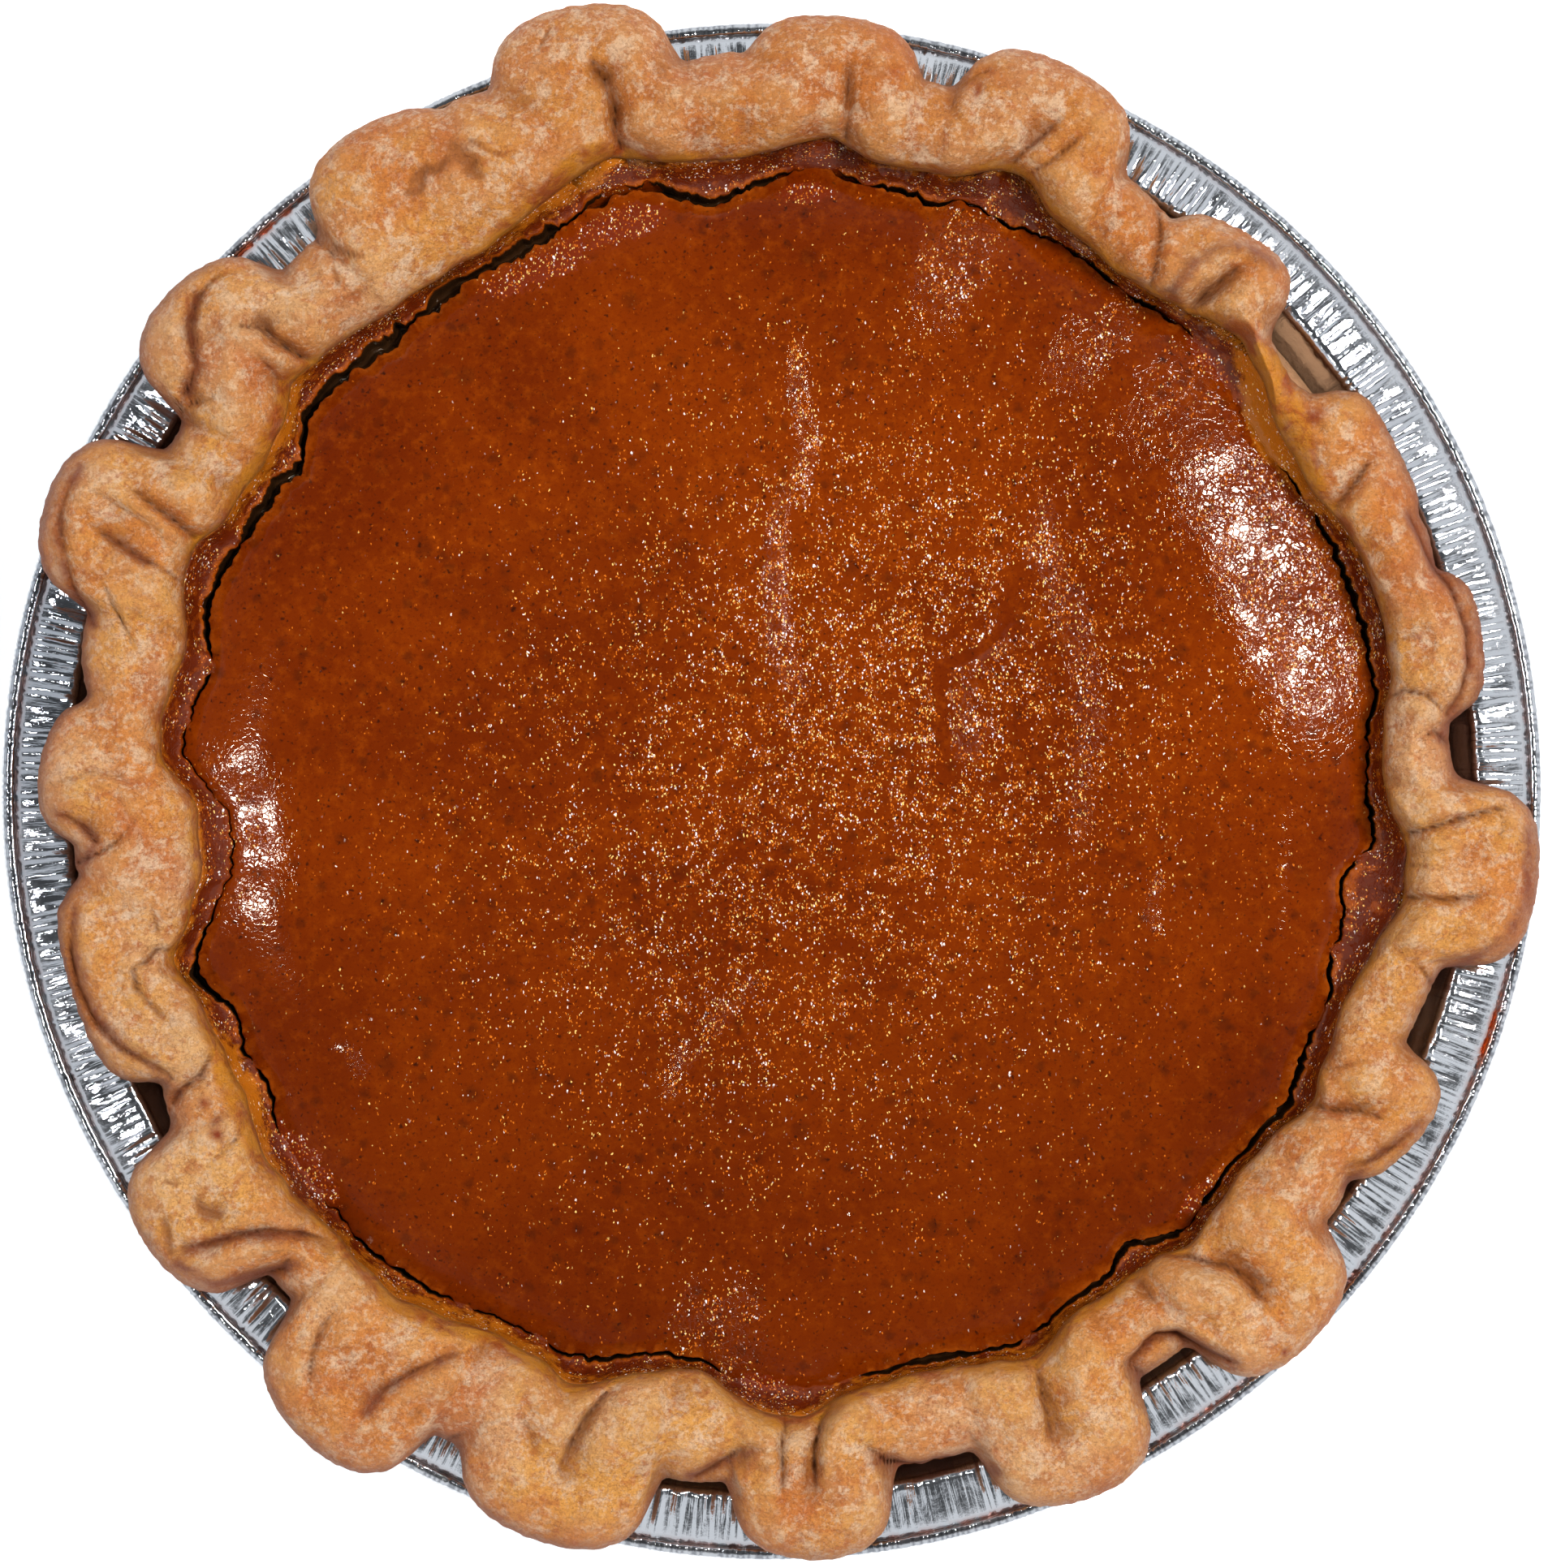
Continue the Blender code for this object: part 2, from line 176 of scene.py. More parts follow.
class Finish:
    """A material under construction, with one short method for each kind of node."""

    def __init__(self, name, roughness=0.5, metallic=0.0):
        self.material = bpy.data.materials.new(name)
        self.material.use_nodes = True
        self.tree = self.material.node_tree
        self.shader = self.tree.nodes["Principled BSDF"]
        self.shader.inputs["Roughness"].default_value = roughness
        self.shader.inputs["Metallic"].default_value = metallic
        self.place = self.tree.nodes.new("ShaderNodeTexCoord").outputs["Object"]

    def put(self, value, socket):
        if isinstance(value, bpy.types.NodeSocket):
            self.tree.links.new(value, socket)
        else:
            socket.default_value = value

    def noise(self, scale, detail=2.0, roughness=0.5, distortion=0.0, place=None):
        node = self.tree.nodes.new("ShaderNodeTexNoise")
        self.put(place or self.place, node.inputs["Vector"])
        for name, value in (("Scale", scale), ("Detail", detail), ("Roughness", roughness),
                            ("Distortion", distortion)):
            self.put(value, node.inputs[name])
        return node.outputs["Fac"]

    def cells(self, scale, feature="F1", randomness=1.0, output="Distance", place=None):
        node = self.tree.nodes.new("ShaderNodeTexVoronoi")
        node.feature = feature
        self.put(place or self.place, node.inputs["Vector"])
        self.put(scale, node.inputs["Scale"])
        self.put(randomness, node.inputs["Randomness"])
        return node.outputs[output]

    def spots(self, scale, place):
        """How far it is to the middle of a cell, and a random number from 0 to 1 for each cell."""
        distance = self.cells(scale, place=place)
        split = self.tree.nodes.new("ShaderNodeSeparateColor")
        self.put(distance.node.outputs["Color"], split.inputs["Color"])
        return distance, split.outputs["Red"]

    def jitter(self, scale, amount):
        """The place, pushed about by fine noise, so that round spots come out ragged."""
        wobble = self.tree.nodes.new("ShaderNodeVectorMath")
        wobble.operation = "MULTIPLY_ADD"
        shake = self.tree.nodes.new("ShaderNodeTexNoise")
        self.put(self.place, shake.inputs["Vector"])
        self.put(scale, shake.inputs["Scale"])
        self.put(shake.outputs["Color"], wobble.inputs[0])
        self.put((amount, amount, amount), wobble.inputs[1])
        self.put(self.place, wobble.inputs[2])
        return wobble.outputs["Vector"]

    def around_tin(self, width, length):
        """A place whose steps are this wide round the tin and this long outwards."""
        split = self.tree.nodes.new("ShaderNodeSeparateXYZ")
        self.put(self.place, split.inputs["Vector"])
        turn = self.math("ARCTAN2", split.outputs["X"], split.outputs["Y"])
        away = self.tree.nodes.new("ShaderNodeVectorMath")
        away.operation = "LENGTH"
        self.put(self.place, away.inputs[0])
        place = self.tree.nodes.new("ShaderNodeCombineXYZ")
        self.put(self.math("MULTIPLY", turn, 117 * MM / width), place.inputs["X"])
        self.put(self.math("DIVIDE", away.outputs["Value"], length), place.inputs["Y"])
        return place.outputs["Vector"]

    def scaled(self, place, factors):
        """The place, drawn out: a factor under 1 makes spots longer that way."""
        node = self.tree.nodes.new("ShaderNodeVectorMath")
        node.operation = "MULTIPLY"
        self.put(place, node.inputs[0])
        self.put(factors, node.inputs[1])
        return node.outputs["Vector"]

    def attribute(self, name):
        node = self.tree.nodes.new("ShaderNodeAttribute")
        node.attribute_name = name
        return node.outputs["Fac"]

    def stretch(self, value, low, high, to_low=0.0, to_high=1.0):
        """Maps low..high to a new range, clamped and eased at both ends."""
        node = self.tree.nodes.new("ShaderNodeMapRange")
        node.interpolation_type = "SMOOTHSTEP"
        for name, number in (("Value", value), ("From Min", low), ("From Max", high),
                             ("To Min", to_low), ("To Max", to_high)):
            self.put(number, node.inputs[name])
        return node.outputs["Result"]

    def math(self, operation, first, second=0.0):
        node = self.tree.nodes.new("ShaderNodeMath")
        node.operation = operation
        self.put(first, node.inputs[0])
        self.put(second, node.inputs[1])
        return node.outputs["Value"]

    def mix(self, share, first, second, blend="MIX"):
        node = self.tree.nodes.new("ShaderNodeMix")
        node.data_type = "RGBA"
        node.blend_type = blend
        self.put(share, node.inputs["Factor"])
        self.put(first, node.inputs[6])
        self.put(second, node.inputs[7])
        return node.outputs[2]

    def bump(self, height, distance, strength=1.0, normal=None):
        node = self.tree.nodes.new("ShaderNodeBump")
        self.put(height, node.inputs["Height"])
        self.put(strength, node.inputs["Strength"])
        self.put(distance, node.inputs["Distance"])
        if normal is not None:
            self.put(normal, node.inputs["Normal"])
        return node.outputs["Normal"]

    def finish(self, obj):
        obj.data.materials.clear()
        obj.data.materials.append(self.material)


# %% [markdown]
# ## The foil tin
#
# A foil pie tin is stamped from a flat disc, and the metal that has to go somewhere gathers
# into hundreds of small pleats in the wall and the flange. They are what makes it glitter:
# each pleat is a flat facet that mirrors another bit of the room. So they are real folds in
# the mesh, of uneven width, and not a bump: a row of random knots round the tin, joined by
# straight lines. The rolled bead at the edge has fine crinkles of its own.

# %% Tin sizes from the frame
tin_low, tin_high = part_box("foil_tin")
TIN_STEPS = 1800
RIM_RADIUS = min(tin_high.x, tin_high.y, -tin_low.x, -tin_low.y) - 0.02 * MM
FLANGE_TOP = 30.0 * MM
FOIL = 0.3 * MM
MOUTH_RADIUS = 111.2 * MM
BASE_RADIUS = 92.0 * MM
BASE_BEND = 1.5 * MM
BEAD_RADIUS = 1.0 * MM
print("tin", round(RIM_RADIUS * 2000), "mm across, bead top at", round(tin_high.z * 1000, 1), "mm")


# %% Pleats
def pleats(count, seed, smooth_spans=()):
    """Zigzag heights between -1 and 1 for every step round, with pleats of uneven width."""
    random = np.random.default_rng(seed)
    widths = random.gamma(4.0, 1.0, count)
    knots = np.cumsum(widths) / widths.sum() * 360
    tops = random.uniform(0.45, 1.0, count) * np.where(np.arange(count) % 2, 1, -1)
    for start, end in smooth_spans:
        tops[(knots > start) & (knots < end)] *= 0.45
    return np.interp(np.degrees(clock_angles(TIN_STEPS)), knots, tops, period=360)


TinRing = namedtuple("TinRing", "radius height pleat out up")


def tin_rings():
    """The tin's section: up the inside, over the flange and bead, and down the outside."""
    flange = FLANGE_TOP - 0.25 * MM
    wall_out, wall_up = -0.83, 0.55
    rings = [TinRing(30 * MM, FOIL + 0.2 * MM, 0, 0, 1)]
    rings.append(TinRing(BASE_RADIUS - 2.4 * MM, FOIL + 0.2 * MM, 0, 0, 1))
    for share in np.linspace(0.06, 0.97, 8):
        radius = BASE_RADIUS - FOIL + share * (MOUTH_RADIUS - BASE_RADIUS)
        height = BASE_BEND + share * (flange - BASE_BEND)
        rings.append(TinRing(radius, height, 0.35 * share**1.5, wall_out, wall_up))
    groove = RIM_RADIUS - 2.4 * MM
    for share in np.linspace(0.03, 1, 10):
        radius = MOUTH_RADIUS + share * (groove - MOUTH_RADIUS)
        rings.append(TinRing(radius, flange - 0.25 * MM * share**8, min(1, 0.3 + 3 * share), 0, 1))
    for inward, up in ((2.25, -0.6), (2.1, -0.55), (1.98, 0.0), (1.75, 0.2), (1.3, 0.3), (0.8, 0.3),
                       (0.35, 0.12), (0.05, -0.35), (0.3, -0.9), (0.9, -1.1), (1.6, -0.9)):
        rings.append(TinRing(RIM_RADIUS - inward * MM, flange + up * MM, 0.0, 0, 0))
    for share in np.linspace(1, 0, 5):
        radius = MOUTH_RADIUS + 2 * FOIL + share * (groove - MOUTH_RADIUS - 2 * FOIL)
        rings.append(TinRing(radius, flange - FOIL - 0.25 * MM * share**8, 1, 0, 1))
    for share in np.linspace(0.94, 0.04, 7):
        radius = BASE_RADIUS + share * (MOUTH_RADIUS - BASE_RADIUS)
        height = BASE_BEND + share * (flange - BASE_BEND)
        rings.append(TinRing(radius, height, share**1.5, wall_out, wall_up))
    rings.append(TinRing(BASE_RADIUS - BASE_BEND, 0.1 * MM, 0, 0, 1))
    rings.append(TinRing(BASE_RADIUS - 2 * BASE_BEND, 0.0, 0, 0, 1))
    return rings


PLEAT_COUNT = 560
PLEAT_DEPTH = 0.46 * MM
SMOOTH_SPANS = ((36, 54), (104, 109), (164, 168), (242, 246))


def make_tin():
    rings = tin_rings()
    at_wall = pleats(PLEAT_COUNT // 2, 11)
    at_flange = pleats(PLEAT_COUNT, 12, SMOOTH_SPANS)
    at_edge = pleats(PLEAT_COUNT + 90, 13, SMOOTH_SPANS)
    crinkle = pleats(900, 14)
    angle = clock_angles(TIN_STEPS)
    droop = np.tan(np.radians(around(TIN_STEPS, DROOP, 6)))
    radii, heights = [], []
    for ring in rings:
        inner = smoothstep(MOUTH_RADIUS - 6 * MM, MOUTH_RADIUS + 2 * MM, ring.radius)
        outer = smoothstep(MOUTH_RADIUS + 1 * MM, RIM_RADIUS - 2 * MM, ring.radius)
        fold = at_wall * (1 - inner) + at_flange * inner
        fold = fold * (1 - 0.65 * outer) + at_edge * 0.65 * outer
        push = PLEAT_DEPTH * ring.pleat * fold
        if ring.out == 0 and ring.pleat and ring.height > 20 * MM:
            push = push + 0.1 * MM * grain(np.full((1, TIN_STEPS), ring.radius), angle, 0.0, 5 * MM)[0]
        on_bead = ring.radius > RIM_RADIUS - 2.2 * MM and ring.pleat == 0
        ticks = 0.26 * MM * np.abs(crinkle) if on_bead else 0.0
        radii.append(ring.radius + push * ring.out - ticks)
        beyond = max(0.0, ring.radius - MOUTH_RADIUS)
        heights.append(ring.height + push * ring.up - 0.6 * ticks - droop * beyond)
    obj, ring, step, _ = turned_piece("tin_skin", np.array(radii), np.array(heights), (FOIL, 0.0))
    at = np.array([ring.radius for ring in rings])[ring]
    in_groove = np.exp(-(((at - RIM_RADIUS + 2.2 * MM) / (0.8 * MM)) ** 2)) * (ring < 33)
    # Painted shade: the groove beside the bead is painted dark grey.
    paint(obj, "groove", np.exp(-(((at - RIM_RADIUS + 2.15 * MM) / (0.22 * MM)) ** 2)) * (ring < 33))
    paint(obj, "juice", in_groove * around(TIN_STEPS, JUICE, 1)[step])
    # Painted shade: how much darker the flange is painted round the tin.
    paint(obj, "foil_shade", around(TIN_STEPS, FOIL_SHADE, 8)[step])
    # Painted shade between the crinkles on top of the bead.
    on_top = (at > RIM_RADIUS - 1.9 * MM) & (at < RIM_RADIUS - 0.2 * MM) & (ring < 33)
    paint(obj, "tick_shade", on_top * (np.abs(crinkle[step]) > 0.45))
    # Painted shade in the valleys of the pleats on the outside of the wall.
    outside = (ring > 38) * np.clip((at - BASE_RADIUS) / (12 * MM), 0, 1)
    paint(obj, "valley", outside * np.clip(0.5 + 0.5 * at_wall[step], 0, 1) ** 2)
    return obj


# How far the flange was bent down in handling: clock angle and degrees.
DROOP = ((0, 5), (45, 6), (100, 6), (150, 7), (200, 7), (240, 2), (262, -1), (290, -1), (320, 5))
# Where the flange is painted darker, as painted shade for the darker room it mirrors there:
# clock angle and share.
FOIL_SHADE = ((0, 0), (82, 0.15), (100, 0), (236, 0.1), (262, 0.45), (290, 0.6), (310, 0.1), (330, 0))
# Where juice ran over and baked into the groove beside the bead.
JUICE = ((0, 0), (34, 0.1), (60, 0.1), (104, 0.2), (107, 1), (111, 1), (113, 0.2), (140, 0.5), (200, 0.1),
         (306, 0.2), (312, 0.9), (318, 0.7), (330, 0.1))
tin = make_tin()


# %% [markdown]
# The metal itself is nearly a mirror. Rolling leaves it slightly brushed and handling leaves
# dents, so the roughness wanders a little and a soft bump bends the reflections. Baked juice
# has left a brown line in the groove beside the bead in two places. The colour also holds
# painted shade: darker in the groove, in the pleat valleys outside, between the crinkles of
# the bead, and on the flange where it mirrors a darker part of the room.

# %% Foil
def foil_finish():
    foil = Finish("bright_foil", metallic=1.0)
    smudge = foil.noise(90, detail=4)
    colour = foil.mix(smudge, linear(214, 218, 224), linear(238, 241, 245))
    # Painted shade where the flange mirrors a darker part of the room.
    colour = foil.mix(foil.attribute("foil_shade"), colour, linear(120, 130, 144))
    # Painted shade in the pleat valleys on the outside.
    colour = foil.mix(foil.stretch(foil.attribute("valley"), 0.2, 1, 0, 0.75), colour, linear(116, 122, 132))
    juice = foil.math("MULTIPLY", foil.attribute("juice"), foil.stretch(foil.noise(500), 0.3, 0.6))
    # Painted shade between the crinkles on top of the bead.
    colour = foil.mix(foil.math("MULTIPLY", foil.attribute("tick_shade"), 0.6), colour, linear(104, 108, 116))
    # Painted shade: the groove beside the bead is painted dark grey.
    colour = foil.mix(foil.attribute("groove"), colour, linear(96, 96, 98))
    colour = foil.mix(juice, colour, linear(196, 100, 36))
    foil.put(colour, foil.shader.inputs["Base Color"])
    rough = foil.math("ADD", foil.stretch(smudge, 0.35, 0.7, 0.07, 0.14),
                      foil.math("MULTIPLY", foil.attribute("groove"), 0.4))
    foil.put(rough, foil.shader.inputs["Roughness"])
    dents = foil.bump(foil.noise(700, detail=3, roughness=0.6), 0.16 * MM, 0.4)
    ridges = foil.noise(1.0, detail=3, roughness=0.6, place=foil.around_tin(0.9 * MM, 9 * MM))
    foil.put(foil.bump(ridges, 0.16 * MM, 1.0, normal=dents), foil.shader.inputs["Normal"])
    return foil


foil_finish().finish(tin)

# %% [markdown]
# ## The pastry edge
#
# The edge is a rope of dough. A knuckle pushed it outwards between two fingers, nineteen
# times round, so it runs out and back like a slow wave, and baking puffed it until the two
# limbs of each flute closed on each other. The same flutes and pinches that shape the solid
# are repeated here and drawn many times finer.

# %% The rope's course
Flute = namedtuple("Flute", "first first_reach second second_reach web")
Pinch = namedtuple("Pinch", "angle inner outer")
FLUTES = (
    Flute(2.0, 121.3, 7.5, 121.3, 0.0),
    Flute(19.0, 122.5, 25.0, 121.5, 0.3),
    Flute(38.0, 113.5, 43.5, 115.3, 0.0),
    Flute(57.5, 112.0, 64.5, 111.5, 0.8),
    Flute(74.5, 114.0, 80.5, 113.0, 0.6),
    Flute(93.5, 119.8, 100.0, 119.8, 0.7),
    Flute(115.5, 115.3, 121.0, 113.0, 0.4),
    Flute(132.5, 119.3, 138.5, 119.8, 0.0),
    Flute(153.0, 120.8, 158.5, 119.5, 0.3),
    Flute(174.3, 119.7, 179.5, 118.7, 0.2),
    Flute(194.0, 121.8, 201.0, 121.5, 0.4),
    Flute(212.5, 125.0, 218.5, 123.3, 0.9),
    Flute(231.0, 120.2, 236.0, 120.2, 0.8),
    Flute(248.5, 113.5, 259.5, 114.0, 0.8),
    Flute(269.0, 114.8, 274.5, 113.5, 0.8),
    Flute(289.5, 121.2, 294.5, 122.0, 0.3),
    Flute(307.0, 122.2, 312.0, 121.2, 0.0),
    Flute(325.5, 122.0, 331.0, 121.2, 0.9),
    Flute(342.3, 126.2, 348.3, 125.4, 0.0),
)
PINCHES = (
    Pinch(13.5, 99.0, 114.0),
    Pinch(32, 98.0, 110.5),
    Pinch(51.5, 97.5, 104.0),
    Pinch(68.5, 99.0, 110.5),
    Pinch(87, 96.5, 106.5),
    Pinch(107.5, 96.5, 107.5),
    Pinch(126.5, 95.5, 110.0),
    Pinch(145.5, 95.0, 108.5),
    Pinch(167, 95.0, 108.0),
    Pinch(186.5, 91.5, 109.0),
    Pinch(206, 96.0, 114.0),
    Pinch(225.5, 97.5, 109.5),
    Pinch(243.5, 95.0, 106.5),
    Pinch(264.5, 92.5, 110.0),
    Pinch(281.5, 96.5, 110.5),
    Pinch(301.5, 96.5, 109.0),
    Pinch(319.5, 98.0, 112.5),
    Pinch(335.5, 98.0, 119.0),
    Pinch(356.5, 100.5, 116.0),
)
# The pastry's inner edge, where it meets the custard, as (angle, radius in mm).
INNER_EDGE = (
    (0, 100), (5.2, 103), (8.5, 100), (16, 100), (20, 103.5), (23, 104), (25.5, 100), (33, 98),
    (38, 98), (42, 100.5), (46, 102), (50, 100.5), (53, 98), (60, 96.5), (66, 99), (75, 99.5),
    (80, 98.5), (83, 96.5), (88, 95.5), (92, 96.5), (94.5, 100), (100, 100), (103, 98),
    (110, 95.5), (118, 96.5), (120, 98), (124, 95), (130, 94.5), (135, 95.5), (138, 96.5),
    (140, 94.5), (144, 94.5), (150, 94), (155.5, 98), (159, 95.5), (166, 94), (173, 94.5),
    (177, 98.5), (180, 97.5), (183, 95.5), (187, 91.5), (190, 91.5), (195, 95), (199, 98.5),
    (202, 95.5), (208, 95.5), (216, 98.5), (226, 97.5), (234, 98), (240, 95.5), (246, 95),
    (251, 96), (254.5, 98.5), (256.5, 94.5), (262, 90.5), (269, 90), (273, 96), (277, 96.5),
    (284, 94.5), (290, 98), (293.5, 98.5), (296, 95.5), (303, 95), (308, 96), (310, 99),
    (314, 98), (322, 96), (332, 96), (339, 99), (346, 103), (350.5, 99.5), (356, 99.5),
)
STEPS = 1300
TOP_STATIONS = 62
ROPE_LIFT = 3.3 * MM
ROPE_HEIGHT = 8.8 * MM
WIDEST_ROPE = 8.0 * MM
THINNEST_ROPE = 5.5 * MM
CREST_SAMPLES = 8
FILL_LINE = 29.0 * MM


def clock_direction(angle):
    return np.stack([np.sin(angle), np.cos(angle)], axis=-1)


def closed_spline(points, samples):
    """A smooth closed line through the rows of points, by the Catmull-Rom rule."""
    share = (np.arange(samples) / samples)[None, :, None]
    p0, p1, p2, p3 = (np.roll(points, shift, axis=0)[:, None, :] for shift in (1, 0, -1, -2))
    line = p1 + 0.5 * share * (
        (p2 - p0)
        + share * (2 * p0 - 5 * p1 + 4 * p2 - p3)
        + share**2 * (3 * p1 - p0 - 3 * p2 + p3)
    )
    return line.reshape(-1, points.shape[1])


def ball(angle, radius, half_width, fullness=1.0):
    """One row of the rope: x, y, half-width and height above its widest level."""
    x, y = radius * clock_direction(math.radians(angle))
    return (x, y, half_width, fullness * ROPE_HEIGHT * math.sqrt(half_width / WIDEST_ROPE))


def limb(angle, reach, inner_edge):
    """The inner and the outer end of one limb of a flute."""
    half_width = min(max((reach - 100 * MM) / 2.6, THINNEST_ROPE), WIDEST_ROPE)
    return [ball(angle, inner_edge + half_width, half_width, 0.96),
            ball(angle, reach - half_width, half_width, 0.86)]


def rope_rows():
    """The rope as a dense row of balls, with the dough between two limbs filled up."""
    turns = []
    webs = []
    for index, (flute, pinch) in enumerate(zip(FLUTES, PINCHES)):
        inner_edge = 0.5 * (PINCHES[index - 1].inner + pinch.inner) * MM
        first = limb(flute.first, flute.first_reach * MM, inner_edge)
        second = limb(flute.second, flute.second_reach * MM, inner_edge)
        turns += first + second[::-1]
        middle = 0.5 * (pinch.outer + pinch.inner) * MM
        turns.append(ball(pinch.angle, middle, 0.5 * (pinch.outer - pinch.inner) * MM, 0.92))
        for share in np.linspace(0, 1, CREST_SAMPLES) if flute.web else ():
            across = 0.5 * (np.array(first) + np.array(second))
            row = across[0] + share * (across[1] - across[0])
            row[3] *= 0.8 + 0.15 * flute.web
            webs.append(row)
    return np.concatenate([closed_spline(np.array(turns), CREST_SAMPLES), np.array(webs)])


def outer_edge(rope, angles):
    """The rope's outer radius along each angle, from the discs that it covers."""
    along = rope[:, :2] @ clock_direction(angles).T
    aside = (rope[:, :2] ** 2).sum(axis=1)[:, None] - along**2
    half_chord = rope[:, 2][:, None] ** 2 - aside
    met = (half_chord > 0) & (along > 0)
    return np.where(met, along + np.sqrt(np.maximum(half_chord, 0.0)), 0.0).max(axis=0)


def rope_height(rope, places):
    """Height above the rope's widest level, 0 where the rope doesn't reach."""
    gap = ((places[:, None, :] - rope[None, :, :2]) ** 2).sum(axis=2)
    share = 1.0 - gap / rope[None, :, 2] ** 2
    return (np.sqrt(np.maximum(share, 0.0)) * rope[None, :, 3]).max(axis=1)


def resting_level(radius):
    """The underside of the dough: over the flange, and over the bead further out."""
    return FLANGE_TOP + 0.3 * MM + 1.6 * MM * smoothstep(113 * MM, 118 * MM, radius)


# %% [markdown]
# ### Folds, rolls and cracks
#
# Where two limbs met, the dough folded on itself. Each fold is drawn as a short line over the
# edge, given by clock angle, radius and depth in millimetres, with its own width. Its section
# is a sharp crease in the middle of a soft valley, and a lip may stand up on one side, where
# one layer lies over the other. Rolls are the same lines the other way up. Drawn thin and
# rough, the lines make the places where the flaky top broke open.

